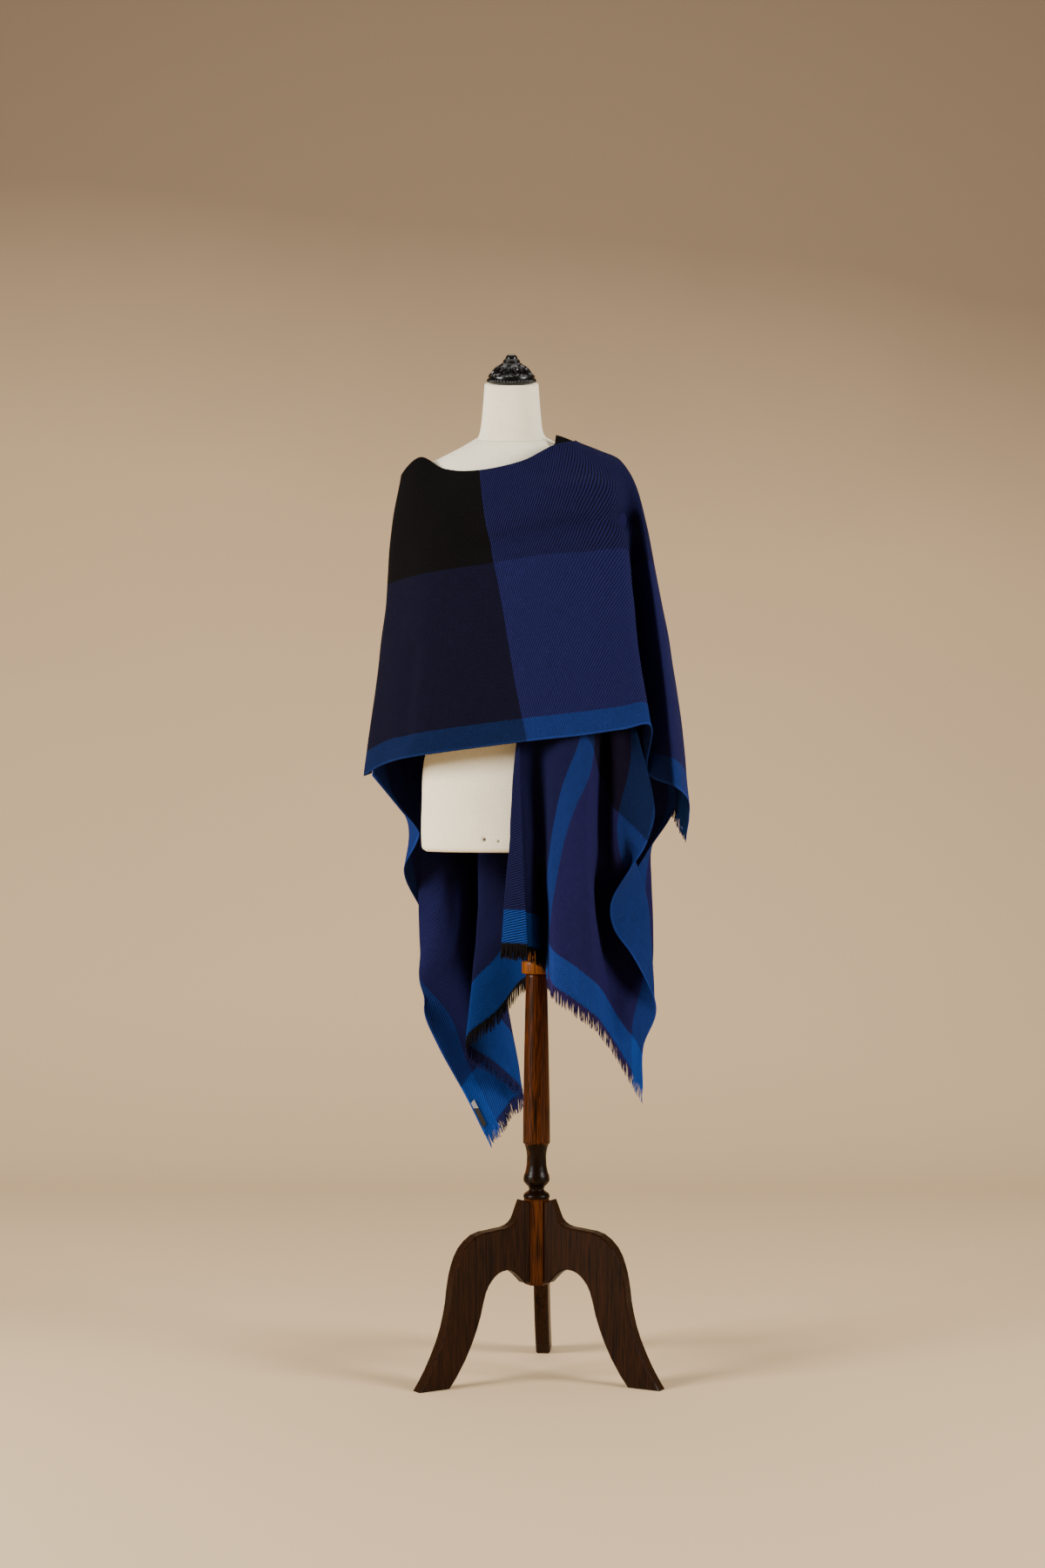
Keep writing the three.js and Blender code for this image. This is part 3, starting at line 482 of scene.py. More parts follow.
def turned(profile, around, steps):
    """Rings of a profile turned about the pole's axis, with `steps` rings between two of its
    rows: radius runs in a straight line from row to row."""
    height, radius = between_rows(profile, steps)
    angle = np.arange(around) * 2 * math.pi / around
    ring = np.stack([np.cos(angle), np.sin(angle)], axis=1)
    rings = np.zeros((len(height), around, 3))
    rings[..., :2] = np.maximum(radius, 0.05)[:, None, None] * ring[None]
    rings[..., 0] += POLE_X
    rings[..., 2] = height[:, None]
    return rings


# ------------------------------------------------------------------ materials
def linear(colour):
    """Linear red, green, blue and 1 from an sRGB hex colour."""
    channels = [int(colour[i:i + 2], 16) / 255 for i in (1, 3, 5)]
    return (*(c / 12.92 if c <= 0.04045 else ((c + 0.055) / 1.055) ** 2.4 for c in channels), 1)


def add_node(tree, kind, inputs=(), **settings):
    """New node with its settings; `inputs` maps a socket to a value or to another's output."""
    node = tree.nodes.new(kind)
    for key, value in settings.items():
        setattr(node, key, value)
    for key, value in dict(inputs).items():
        if isinstance(value, bpy.types.NodeSocket):
            tree.links.new(value, node.inputs[key])
        else:
            node.inputs[key].default_value = value
    return node


def new_material(name):
    """Empty node material, its tree and its output node."""
    material = bpy.data.materials.new(name)
    material.use_nodes = True
    tree = material.node_tree
    tree.nodes.clear()
    return material, tree, add_node(tree, "ShaderNodeOutputMaterial")


def ramp(tree, factor, stops, interpolation="LINEAR"):
    """Colour output of a ramp through (position, linear colour) stops."""
    node = add_node(tree, "ShaderNodeValToRGB", {"Fac": factor})
    node.color_ramp.interpolation = interpolation
    elements = node.color_ramp.elements
    while len(elements) > 1:
        elements.remove(elements[-1])
    elements[0].position, elements[0].color = stops[0]
    for position, colour in stops[1:]:
        elements.new(position).color = colour
    return node.outputs["Color"]


def math_node(tree, operation, a, b=0.0, c=0.0):
    """Output of one sum on numbers or sockets."""
    return add_node(tree, "ShaderNodeMath", {0: a, 1: b, 2: c}, operation=operation).outputs[0]


def worsted_yarns(tree):
    """Flat place, distances across and along, warp colour and weft colour that all parts of the cloth
    share.
    """
    place = add_node(tree, "ShaderNodeUVMap", uv_map="cloth")
    split = add_node(tree, "ShaderNodeSeparateXYZ", {0: place.outputs[0]})
    across, along = split.outputs[0], split.outputs[1]
    warp = ramp(tree, across, [(start * MM, linear(HEX[yarn])) for start, yarn in WARP_STRIPES],
                "CONSTANT")
    length = CLOTH_LENGTH * MM
    weft = ramp(tree, math_node(tree, "DIVIDE", along, length),
                [(start / CLOTH_LENGTH, linear(HEX[yarn])) for start, yarn in WEFT_BANDS],
                "CONSTANT")
    return place.outputs[0], across, along, warp, weft


def twill_cloth(settings):
    """Worsted wool in a 2/2 twill, fulled and pressed: a matte face of fine slanting ribs whose
    colour is half warp and half weft, with painted shade in the grooves between the ribs, a
    painted highlight along both selvedges, uneven yarns and a faint fibre sheen."""
    material, tree, output = new_material("worsted_twill")
    place, across, along, warp, weft = worsted_yarns(tree)
    # The ribs stand wider apart than a real twill's, so that they show at this distance.
    slant = math_node(tree, "MULTIPLY_ADD", along, RIB_SLANT, across)
    uneven = add_node(tree, "ShaderNodeTexNoise", {"Vector": place, "Scale": 60.0},
                      noise_dimensions="2D")
    phase = math_node(tree, "MULTIPLY_ADD", slant, 2 * math.pi / settings.rib_spacing,
                      math_node(tree, "MULTIPLY", uneven.outputs[0], 2.2))
    height = math_node(tree, "MULTIPLY_ADD", math_node(tree, "SINE", phase), 0.5, 0.5)
    yarn_noise = []
    for stretch in ((900, 45, 1), (45, 900, 1)):     # long thin slubs on each set of yarns
        scaled = add_node(tree, "ShaderNodeMapping", {"Vector": place, "Scale": stretch})
        noise = add_node(tree, "ShaderNodeTexNoise", {"Vector": scaled.outputs[0], "Scale": 1.0,
                                                      "Detail": 2.0}, noise_dimensions="2D")
        yarn_noise.append(noise.outputs[0])
    # The weft covers more of the face than the warp does, and the thick black weft most.
    black_start, black_end = WEFT_BANDS[2][0] * MM, WEFT_BANDS[3][0] * MM
    black = math_node(tree, "COMPARE", along, (black_start + black_end) / 2,
                      (black_end - black_start) / 2)
    mix = math_node(tree, "MULTIPLY_ADD", height, 0.5,
                    math_node(tree, "MULTIPLY_ADD", black, 0.14, 0.34))
    cloth = add_node(tree, "ShaderNodeMix", {0: mix, 6: warp, 7: weft}, data_type="RGBA")
    slub = math_node(tree, "ADD", yarn_noise[0], yarn_noise[1])
    # Painted shade: the tone falls nearly to black in the grooves between the ribs, where the rib
    # height is low.
    tone = math_node(tree, "MULTIPLY_ADD", slub, 0.5, math_node(tree, "MULTIPLY_ADD", height,
                                                              0.95, 0.02))
    # Painted highlight: a strip of CORD_WIDTH along both selvedges is painted lighter, where the edge
    # catches the light.
    middle = math_node(tree, "ABSOLUTE", math_node(tree, "SUBTRACT", across,
                                                   CLOTH_WIDTH * MM / 2))
    selvedge_highlight = math_node(tree, "GREATER_THAN", middle, (CLOTH_WIDTH / 2 - CORD_WIDTH) * MM)
    tone = math_node(tree, "MULTIPLY_ADD", selvedge_highlight, 0.5, tone)
    shaded = add_node(tree, "ShaderNodeVectorMath", {0: cloth.outputs[2], "Scale": tone},
                      operation="SCALE")
    fibres = add_node(tree, "ShaderNodeTexNoise", {"Vector": place, "Scale": 1400.0,
                                                   "Detail": 2.0}, noise_dimensions="2D")
    relief = math_node(tree, "ADD", math_node(tree, "MULTIPLY", height, 0.7),
                       math_node(tree, "MULTIPLY", fibres.outputs[0], 0.4))
    bump = add_node(tree, "ShaderNodeBump", {"Strength": 0.8, "Distance": 0.0007,
                                             "Height": relief})
    shader = add_node(tree, "ShaderNodeBsdfPrincipled", {
        "Base Color": shaded.outputs[0], "Roughness": 0.8, "Specular IOR Level": 0.03,
        "Sheen Weight": 0.008, "Sheen Roughness": 0.5, "Normal": bump.outputs[0]})
    tree.links.new(shader.outputs[0], output.inputs[0])
    return material


def fringe_yarn():
    """The warp's own worsted yarns left loose at a hem: plied, so glossier than the cloth, with
    lighter strands painted in as highlights where the light catches them."""
    material, tree, output = new_material("worsted_fringe")
    place, _, _, warp, _ = worsted_yarns(tree)
    strand = add_node(tree, "ShaderNodeTexNoise", {"Vector": place, "Scale": 500.0},
                      noise_dimensions="2D")
    # Painted highlight: the noise makes some strands between half and nearly twice as light as the
    # warp.
    tone = math_node(tree, "MULTIPLY_ADD", strand.outputs[0], 1.4, 0.5)
    shaded = add_node(tree, "ShaderNodeVectorMath", {0: warp, "Scale": tone},
                      operation="SCALE")
    shader = add_node(tree, "ShaderNodeBsdfPrincipled", {
        "Base Color": shaded.outputs[0], "Roughness": 0.6, "Specular IOR Level": 0.06,
        "Sheen Weight": 0.02, "Sheen Roughness": 0.4})
    tree.links.new(shader.outputs[0], output.inputs[0])
    return material


def form_linen(settings):
    """Unbleached linen in a plain weave, stretched over the form: cream, matte, with visible
    crossing threads and slubs."""
    material, tree, output = new_material("plain_weave_linen")
    place = add_node(tree, "ShaderNodeTexCoord").outputs["Object"]
    heights = []
    for scale in ((520, 520, 26), (26, 26, 520)):      # threads about 1 mm apart, both ways
        scaled = add_node(tree, "ShaderNodeMapping", {"Vector": place, "Scale": scale})
        noise = add_node(tree, "ShaderNodeTexNoise", {"Vector": scaled.outputs[0], "Scale": 1.6,
                                                      "Detail": 3.0})
        heights.append(noise.outputs[0])
    weave = math_node(tree, "MULTIPLY", math_node(tree, "ADD", *heights), 0.5)
    cloudy = add_node(tree, "ShaderNodeTexNoise", {"Vector": place, "Scale": 9.0, "Detail": 3.0})
    tone = math_node(tree, "MULTIPLY_ADD", cloudy.outputs[0], 0.35,
                     math_node(tree, "MULTIPLY", weave, 0.65))
    r, g, b, _ = settings.linen_colour
    dark = tuple(c * 0.80 for c in (r, g, b)) + (1,)
    colour = ramp(tree, tone, [(0.3, dark), (0.62, (r, g, b, 1))])
    # Two old pin holes near the lower edge, each a dark dot in a small dimple.
    relief = math_node(tree, "MULTIPLY", weave, 0.25)
    for hole, size in (((-80, -98.7, 881), 2.8), ((-57, -103.5, 878), 1.6)):
        away = add_node(tree, "ShaderNodeVectorMath", {0: place, 1: to_row(hole)},
                        operation="DISTANCE")
        near = add_node(tree, "ShaderNodeMapRange", {
            0: away.outputs["Value"], 1: size * 0.4 * MM, 2: size * 3 * MM, 3: 1.0, 4: 0.0},
            interpolation_type="SMOOTHSTEP").outputs[0]
        dot = math_node(tree, "POWER", near, 4.0)
        colour = add_node(tree, "ShaderNodeMix", {0: dot, 6: colour, 7: linear("#4a3f30")},
                          data_type="RGBA").outputs[2]
        relief = math_node(tree, "SUBTRACT", relief, near)
    bump = add_node(tree, "ShaderNodeBump", {"Strength": 0.5, "Distance": 0.002,
                                             "Height": relief})
    shader = add_node(tree, "ShaderNodeBsdfPrincipled", {
        "Base Color": colour, "Roughness": 0.9, "Specular IOR Level": 0.1,
        "Sheen Weight": 0.05, "Normal": bump.outputs[0]})
    tree.links.new(shader.outputs[0], output.inputs[0])
    return material


def stained_wood(name, dark, light, grain_axis, roughness, dark_below=-1.0):
    """Close-grained hardwood, stained dark and lacquered: orange-brown streaks along the grain
    under a satin coat that catches the light. Below the height `dark_below` the stain is nearly
    black."""
    material, tree, output = new_material(name)
    place = add_node(tree, "ShaderNodeTexCoord").outputs["Object"]
    fine = [420.0, 420.0, 420.0]
    fine[grain_axis] = 9.0
    scaled = add_node(tree, "ShaderNodeMapping", {"Vector": place, "Scale": fine})
    streaks = add_node(tree, "ShaderNodeTexNoise", {"Vector": scaled.outputs[0], "Scale": 1.0,
                                                    "Detail": 6.0, "Distortion": 0.4})
    broad = [90.0, 90.0, 90.0]
    broad[grain_axis] = 3.0
    wide = add_node(tree, "ShaderNodeMapping", {"Vector": place, "Scale": broad})
    figure = add_node(tree, "ShaderNodeTexNoise", {"Vector": wide.outputs[0], "Scale": 1.0,
                                                   "Detail": 3.0, "Distortion": 0.8})
    tone = math_node(tree, "MULTIPLY_ADD", figure.outputs[0], 0.6,
                     math_node(tree, "MULTIPLY", streaks.outputs[0], 0.4))
    height = add_node(tree, "ShaderNodeSeparateXYZ", {0: place}).outputs[2]
    darkening = add_node(tree, "ShaderNodeMapRange", {
        0: height, 1: dark_below - 0.006, 2: dark_below + 0.004, 3: 0.17, 4: 0.0}).outputs[0]
    colour = ramp(tree, math_node(tree, "SUBTRACT", tone, darkening),
                  [(0.4, linear(dark)), (0.47, linear(light)), (0.52, linear(dark)),
                   (0.58, linear(light)), (0.66, linear(dark))])
    bump = add_node(tree, "ShaderNodeBump", {"Strength": 0.12, "Distance": 0.0004,
                                             "Height": streaks.outputs[0]})
    shader = add_node(tree, "ShaderNodeBsdfPrincipled", {
        "Base Color": colour, "Roughness": roughness, "Specular IOR Level": 0.1,
        "Coat Weight": 0.03, "Coat Roughness": 0.2, "Normal": bump.outputs[0]})
    tree.links.new(shader.outputs[0], output.inputs[0])
    return material


def gloss_resin():
    """Cast resin with black gloss paint: small bright highlights on each raised form, and a
    faintly uneven black."""
    material, tree, output = new_material("black_gloss_resin")
    place = add_node(tree, "ShaderNodeTexCoord").outputs["Object"]
    uneven = add_node(tree, "ShaderNodeTexNoise", {"Vector": place, "Scale": 260.0,
                                                   "Detail": 2.0})
    bump = add_node(tree, "ShaderNodeBump", {"Strength": 0.2, "Distance": 0.0004,
                                             "Height": uneven.outputs[0]})
    colour = ramp(tree, uneven.outputs[0], [(0.35, linear("#050404")), (0.7, linear("#0d0b09"))])
    shader = add_node(tree, "ShaderNodeBsdfPrincipled", {
        "Base Color": colour, "Roughness": 0.24, "IOR": 1.5, "Specular IOR Level": 0.28,
        "Normal": bump.outputs[0]})
    tree.links.new(shader.outputs[0], output.inputs[0])
    return material


def woven_tape(name, colour, other):
    """Narrow satin-woven tape, close and slightly shiny, left blank."""
    material, tree, output = new_material(name)
    place = add_node(tree, "ShaderNodeTexCoord").outputs["Object"]
    threads = add_node(tree, "ShaderNodeTexNoise", {"Vector": place, "Scale": 1500.0})
    shade = ramp(tree, threads.outputs[0], [(0.35, linear(colour)), (0.7, linear(other))])
    # The tape's folded-over top is pale grey.
    height = add_node(tree, "ShaderNodeSeparateXYZ", {0: place}).outputs[2]
    tab = math_node(tree, "GREATER_THAN", height, TAPE_FOLD * MM)
    shade = add_node(tree, "ShaderNodeMix", {0: tab, 6: shade, 7: linear("#9c9a96")},
                     data_type="RGBA").outputs[2]
    bump = add_node(tree, "ShaderNodeBump", {"Strength": 0.3, "Distance": 0.0003,
                                             "Height": threads.outputs[0]})
    shader = add_node(tree, "ShaderNodeBsdfPrincipled", {
        "Base Color": shade, "Roughness": 0.5, "Normal": bump.outputs[0]})
    tree.links.new(shader.outputs[0], output.inputs[0])
    return material


def studio_paper(name, low, middle, high):
    """Matte seamless paper, with painted shade for the lamps' falloff: darker from the floor up
    and, a little, from left to right, with a faint cloudy tone."""
    material, tree, output = new_material(name)
    place = add_node(tree, "ShaderNodeTexCoord").outputs["Object"]
    split = add_node(tree, "ShaderNodeSeparateXYZ", {0: place})
    cloudy = add_node(tree, "ShaderNodeTexNoise", {"Vector": place, "Scale": 0.8, "Detail": 4.0})
    painted_height = 2.6
    # Painted shade: the colour darkens with height and a little towards the right, standing in for
    # the falloff of the lamps' light.
    up = math_node(tree, "DIVIDE", split.outputs[2], painted_height)
    up = math_node(tree, "MULTIPLY_ADD", split.outputs[0], 0.05, up)
    up = math_node(tree, "MULTIPLY_ADD", cloudy.outputs[0], 0.16, up)
    shade = ramp(tree, math_node(tree, "SUBTRACT", up, 0.08),
                 [(0.12, linear(low)), (0.67, linear(middle)), (1.0, linear(high))])
    shader = add_node(tree, "ShaderNodeBsdfPrincipled", {"Base Color": shade, "Roughness": 0.9,
                                                         "Specular IOR Level": 0.1})
    tree.links.new(shader.outputs[0], output.inputs[0])
    return material


# ------------------------------------------------------------------ settings
class ClothSettings(bpy.types.PropertyGroup):
    """Sizes of the twill and its fringe."""

    wall: FloatProperty(name="Cloth thickness", default=0.0016, min=0.0005, max=0.003,
                        subtype="DISTANCE", description="Thickness of the fulled twill")
    rib_spacing: FloatProperty(name="Rib spacing", default=0.0072, min=0.001, max=0.01,
                               subtype="DISTANCE", description="Distance across from one "
                               "slanting rib of the twill to the next")
    crease: FloatProperty(name="Crease depth", default=0.0009, min=0.0, max=0.003,
                          subtype="DISTANCE", description="Depth of the soft pressed creases")
    fringe_length: FloatProperty(name="Fringe length", default=0.022, min=0.005, max=0.04,
                                 subtype="DISTANCE", description="Free length of warp yarns")
    fringe_pitch: FloatProperty(name="Fringe pitch", default=0.0012, min=0.001, max=0.005,
                                subtype="DISTANCE", description="Distance between two yarns")


class FormSettings(bpy.types.PropertyGroup):
    """Finish of the dress form."""

    linen_colour: FloatVectorProperty(name="Linen", size=4, subtype="COLOR", min=0, max=1,
                                      default=linear("#f9efd3"),
                                      description="Colour of the linen cover")
    around: IntProperty(name="Steps round the form", default=192, min=48, max=384,
                        description="Points in each ring of the torso")


class StageSettings(bpy.types.PropertyGroup):
    """Camera and light."""

    camera_height: FloatProperty(name="Camera height", default=0.970, min=0.3, max=2.0,
                                 subtype="DISTANCE", description="Height of the lens")
    light_power: FloatProperty(name="Light power", default=1.0, min=0.1, max=4.0,
                               description="Strength of all lamps together")


def dented(grid, dents):
    """Grid moved along its forward normals by the sum over dents of
    depth * exp(-(distance to the dent's line in x and z / its width) squared)."""
    normal = grid_normals(grid)
    normal = np.where(normal[..., 1:2] > 0, -normal, normal)
    seen = grid[..., (0, 2)]
    depth = np.zeros(grid.shape[:2])
    for dent in dents:
        start, run = np.array(dent.start, float), np.subtract(dent.end, dent.start)
        t = np.clip((seen - start) @ run / (run @ run), 0, 1)
        away = np.linalg.norm(seen - start - t[..., None] * run, axis=2)
        depth += dent.depth * np.exp(-(away / dent.width) ** 2) * (grid[..., 1] < 0)
    return grid + normal * depth[..., None]


def panel_grid(folds, down, between, seed, crease, dents=()):
    """Grid of a panel in mm with soft creases: waves of 45 to 160 mm moved along the normals,
    fading to nothing over the four grid steps next to an edge."""
    grid, flat = drape(folds, down, between)
    grid = dented(grid, dents)
    wide, tall = grid.shape[:2]
    from_edge = np.minimum.outer(np.minimum(np.arange(wide), np.arange(wide)[::-1]),
                                 np.minimum(np.arange(tall), np.arange(tall)[::-1]))
    fade_steps = 4.0
    fade = np.clip(from_edge / fade_steps, 0, 1)
    depth = waves(flat, seed, 24, 160, 45) * crease / MM * fade
    return grid + grid_normals(grid) * depth[..., None], flat


def cloth_piece(name, folds, down, between, seed, settings, dents=()):
    """A panel's shell, with its grid kept for the fringe."""
    grid, flat = panel_grid(folds, down, between, seed, settings.crease, dents)
    points, faces, places = shell(grid, flat, settings.wall / MM)
    piece = mesh_piece(f"{name}_cloth", to_row(points), faces, cloth_material(settings),
                       (name,), places * MM)
    return piece, grid, flat


def cloth_material(settings):
    """The one twill that all panels share."""
    return bpy.data.materials.get("worsted_twill") or twill_cloth(settings)


def yarn_material():
    """The one yarn that all fringes share."""
    return bpy.data.materials.get("worsted_fringe") or fringe_yarn()


def fringe_piece(name, hem, inner, across, settings, seed):
    """Loose yarns below a hem. Each is a tapering tube of `rings` rings of `sides` points, that
    leaves the cloth in its own direction, sags towards the ground and wanders a little."""
    rings, sides = 6, 4
    thickest, sunk, sag, wander = 0.95, 2.0, 0.28, 0.35
    rng = np.random.default_rng(seed)
    run = distances(hem)
    count = int(run[-1] * MM / settings.fringe_pitch)
    at = (np.arange(count) + rng.uniform(0.25, 0.75, count)) / count * run[-1]
    root = np.stack([np.interp(at, run, hem[:, k]) for k in range(3)], axis=1)
    above = np.stack([np.interp(at, run, inner[:, k]) for k in range(3)], axis=1)
    place = np.interp(at, run, across)
    way = root - above
    way /= np.linalg.norm(way, axis=1, keepdims=True)
    side = np.stack([np.interp(np.clip(at + 2, 0, run[-1]), run, hem[:, k])
                     - np.interp(np.clip(at - 2, 0, run[-1]), run, hem[:, k])
                     for k in range(3)], axis=1)
    side /= np.linalg.norm(side, axis=1, keepdims=True)
    face = np.cross(side, way)
    length = settings.fringe_length / MM * rng.uniform(0.8, 1.05, count)
    lean = rng.normal(0, 0.09, count)
    lift = rng.normal(0, 0.07, count)
    t = np.linspace(0, 1, rings)
    down = np.array([0, 0, -1.0])
    t3 = t[None, :, None]
    spine = (root[:, None] - way[:, None] * sunk + way[:, None] * t3 * length[:, None, None]
             + side[:, None] * (t3 ** 1.5) * (lean * length)[:, None, None]
             + face[:, None] * (t3 ** 1.5) * (lift * length)[:, None, None]
             + down * (t3 ** 2) * (sag * length)[:, None, None])
    wiggle = np.sin(t[None] * 7 + rng.uniform(0, 6.28, (count, 1))) * wander * t[None]
    spine += side[:, None] * wiggle[..., None]
    radius = (thickest * (1 - 0.4 * t ** 3))[None, :, None, None]
    angle = np.arange(sides) * 2 * math.pi / sides
    ring = (side[:, None, None] * np.cos(angle)[None, None, :, None]
            + face[:, None, None] * np.sin(angle)[None, None, :, None])
    tubes = spine[:, :, None] + ring * radius
    index = np.arange(count * rings * sides).reshape(count, rings, sides)
    index = np.concatenate([index, index[:, :, :1]], axis=2)
    walls = np.stack([index[:, :-1, :-1], index[:, :-1, 1:], index[:, 1:, 1:],
                      index[:, 1:, :-1]], axis=3).reshape(-1, 4)
    ends = np.concatenate([index[:, 0, :sides][:, ::-1], index[:, -1, :sides]])
    points = tubes.reshape(-1, 3)
    faces = outward(points, np.concatenate([walls, ends]))
    places = np.repeat(np.stack([place, np.arange(count) * 7.0 % 50 + 1], axis=1),
                       rings * sides, axis=0)
    return mesh_piece(f"{name}_yarns", to_row(points), faces, yarn_material(),
                      (name,), places * MM)


# ------------------------------------------------------------------ operators
class RUANA_OT_right_front(bpy.types.Operator):
    """Right front: thrown across the chest and over the left shoulder"""

    bl_idname = "ruana.right_front"
    bl_label = "Right front"

    def execute(self, context):
        settings = context.scene.ruana_cloth
        piece, grid, flat = cloth_piece("right_front_panel", RIGHT_FRONT_FOLDS, 200, 18, 11,
                                        settings, FRONT_DENTS)
        fringe = fringe_piece("right_front_fringe", grid[-1], grid[-3], flat[-1, :, 0],
                              settings, 21)
        return {"FINISHED"}


class RUANA_OT_left_front(bpy.types.Operator):
    """Left front: hanging straight, its slit edge turned back and its selvedge in waves"""

    bl_idname = "ruana.left_front"
    bl_label = "Left front"

    def execute(self, context):
        settings = context.scene.ruana_cloth
        piece, grid, flat = cloth_piece("left_front_panel", LEFT_FRONT_FOLDS, 236, 18, 12,
                                        settings)
        fringe = fringe_piece("left_front_fringe", grid[:, -1], grid[:, -3], flat[:, -1, 0],
                              settings, 22)
        return {"FINISHED"}


class RUANA_OT_back(bpy.types.Operator):
    """Back: from the shoulders down to the back hem, folded at both sides"""

    bl_idname = "ruana.back"
    bl_label = "Back"

    def execute(self, context):
        settings = context.scene.ruana_cloth
        piece, grid, flat = cloth_piece("back_panel", BACK_FOLDS, 210, 16, 13, settings)
        fringe = fringe_piece("back_fringe", grid[:, -1], grid[:, -3], flat[:, -1, 0],
                              settings, 23)
        return {"FINISHED"}


class RUANA_OT_label(bpy.types.Operator):
    """Care label: a blank folded tape near the back corner"""

    bl_idname = "ruana.label"
    bl_label = "Care label"

    def execute(self, context):
        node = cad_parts["care_label"]
        tape = woven_tape("blank_label_tape", "#16140f", "#2c2413")
        node.data.materials.clear()
        node.data.materials.append(tape)
        return {"FINISHED"}


def body_rings(sections, rings, around):
    """Rings of a body form: each an oval whose front and back depths differ, its height
    raised by depth times the tangent of its slope; sections are smooth in height."""
    knots = sections[:, 0]
    at = np.linspace(knots[0], knots[-1], rings)
    z, x, half, front, back, slope = smooth(sections, knots, at).T
    angle = np.arange(around) * 2 * math.pi / around
    cos, sin = np.cos(angle), np.sin(angle)
    depth = np.where(sin[None] < 0, front[:, None], back[:, None])
    y = depth * sin[None]
    return np.stack([x[:, None] + half[:, None] * cos[None], y,
                     z[:, None] + y * np.tan(slope)[:, None]], axis=2)


class RUANA_OT_form(bpy.types.Operator):
    """Dress form: linen-covered torso and neck"""

    bl_idname = "ruana.form"
    bl_label = "Torso and neck"

    def execute(self, context):
        settings = context.scene.ruana_form
        linen = form_linen(settings)
        for name, node, sections, rings in (("torso_cover", "torso", TORSO_SECTIONS, 170),
                                            ("neck_cover", "neck", NECK_SECTIONS, 40)):
            skin = body_rings(sections, rings, settings.around)
            points, faces = closed_rings(skin)
            mesh_piece(name, to_row(points), faces, linen, (node,))
        return {"FINISHED"}


class RUANA_OT_cap(bpy.types.Operator):
    """Neck cap: black, with a ring of carved scrolls over a beaded rim"""

    bl_idname = "ruana.cap"
    bl_label = "Neck cap"

    def execute(self, context):
        around, steps = 360, 6
        rim_waves, scrolls = 24, 7
        up, radius = between_rows(CAP_PROFILE, steps)
        angle = np.arange(around) * 2 * math.pi / around
        up, radius = up[:, None], radius[:, None]
        # Beads round the rim, two to a wave, and scrolls parted by grooves above it.
        beads = np.exp(-((up - 4.4) / 2.6) ** 2) * np.abs(np.cos(rim_waves * angle)) * 1.4
        leaves = np.clip((up - 12) / 4, 0, 1) * np.clip((33 - up) / 4, 0, 1)
        turn = np.mod(scrolls * angle / (2 * math.pi), 1) - 0.5
        ring = np.hypot(turn * radius * 0.9, (up - 21) * 0.9)
        scroll = 2.2 * np.cos(ring * 0.95) * np.exp(-(ring / 11) ** 2)
        groove = 2.0 * np.exp(-((0.5 - np.abs(turn)) / 0.07) ** 2)
        carved = np.maximum(radius + np.where(radius > 5, beads + leaves * (scroll - groove), 0),
                            0.05)
        rings = np.stack([carved * np.cos(angle), carved * np.sin(angle),
                          np.repeat(up, around, axis=1)], axis=2)
        cos, sin = math.cos(NECK_TILT), math.sin(NECK_TILT)
        tilted = rings.copy()
        tilted[..., 1] = rings[..., 1] * cos - rings[..., 2] * sin
        tilted[..., 2] = rings[..., 1] * sin + rings[..., 2] * cos
        points, faces = closed_rings(tilted + np.array(CAP_BASE))
        mesh_piece("carved_cap", to_row(points), faces, gloss_resin(),
                   ("neck_cap",))
        return {"FINISHED"}


class RUANA_OT_pole(bpy.types.Operator):
    """Pole: turned wooden pole, its collar and the inner rod"""

    bl_idname = "ruana.pole"
    bl_label = "Pole, collar and rod"

    def execute(self, context):
        walnut = stained_wood("walnut_stain_turned", "#100500", "#4e2304", 2, 0.34, 0.381)
        pine = stained_wood("orange_stain_turned", "#42200a", "#82470f", 2, 0.42)
        for name, node, profile, wood in (("turned_pole", "pole", POLE_PROFILE, walnut),
                                          ("turned_collar", "collar", COLLAR_PROFILE, pine),
                                          ("turned_rod", "inner_rod", ROD_PROFILE, pine)):
            points, faces = closed_rings(turned(profile, 96, 4))
            mesh_piece(name, to_row(points), faces, wood, (node,))
        return {"FINISHED"}


class RUANA_OT_tripod(bpy.types.Operator):
    """Tripod: the six-sided hub and three sawn legs"""

    bl_idname = "ruana.tripod"
    bl_label = "Hub and legs"

    def execute(self, context):
        sawn = stained_wood("walnut_stain_sawn", "#0d0400", "#2c1404", 2, 0.4)
        # Painted light: the hub's copy of the walnut stain is lighter than the legs', standing in for
        # the light that falls on the hub.
        painted_lit = stained_wood("walnut_stain_rubbed", "#1c0a01", "#54290a", 2, 0.4)
        for name, wood in (("hub", painted_lit), ("leg_left", sawn), ("leg_right", sawn),
                           ("leg_back", sawn)):
            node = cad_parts[name]
            node.data.materials.clear()
            node.data.materials.append(wood)
        return {"FINISHED"}


def aim(thing, place, target):
    """Puts a lamp or camera at a place, turned to look at the target."""
    thing.location = place
    way = np.array(target, float) - np.array(place, float)
    flat = math.hypot(way[0], way[1])
    thing.rotation_euler = (math.pi / 2 + math.atan2(way[2], flat), 0,
                            math.atan2(way[1], way[0]) - math.pi / 2)


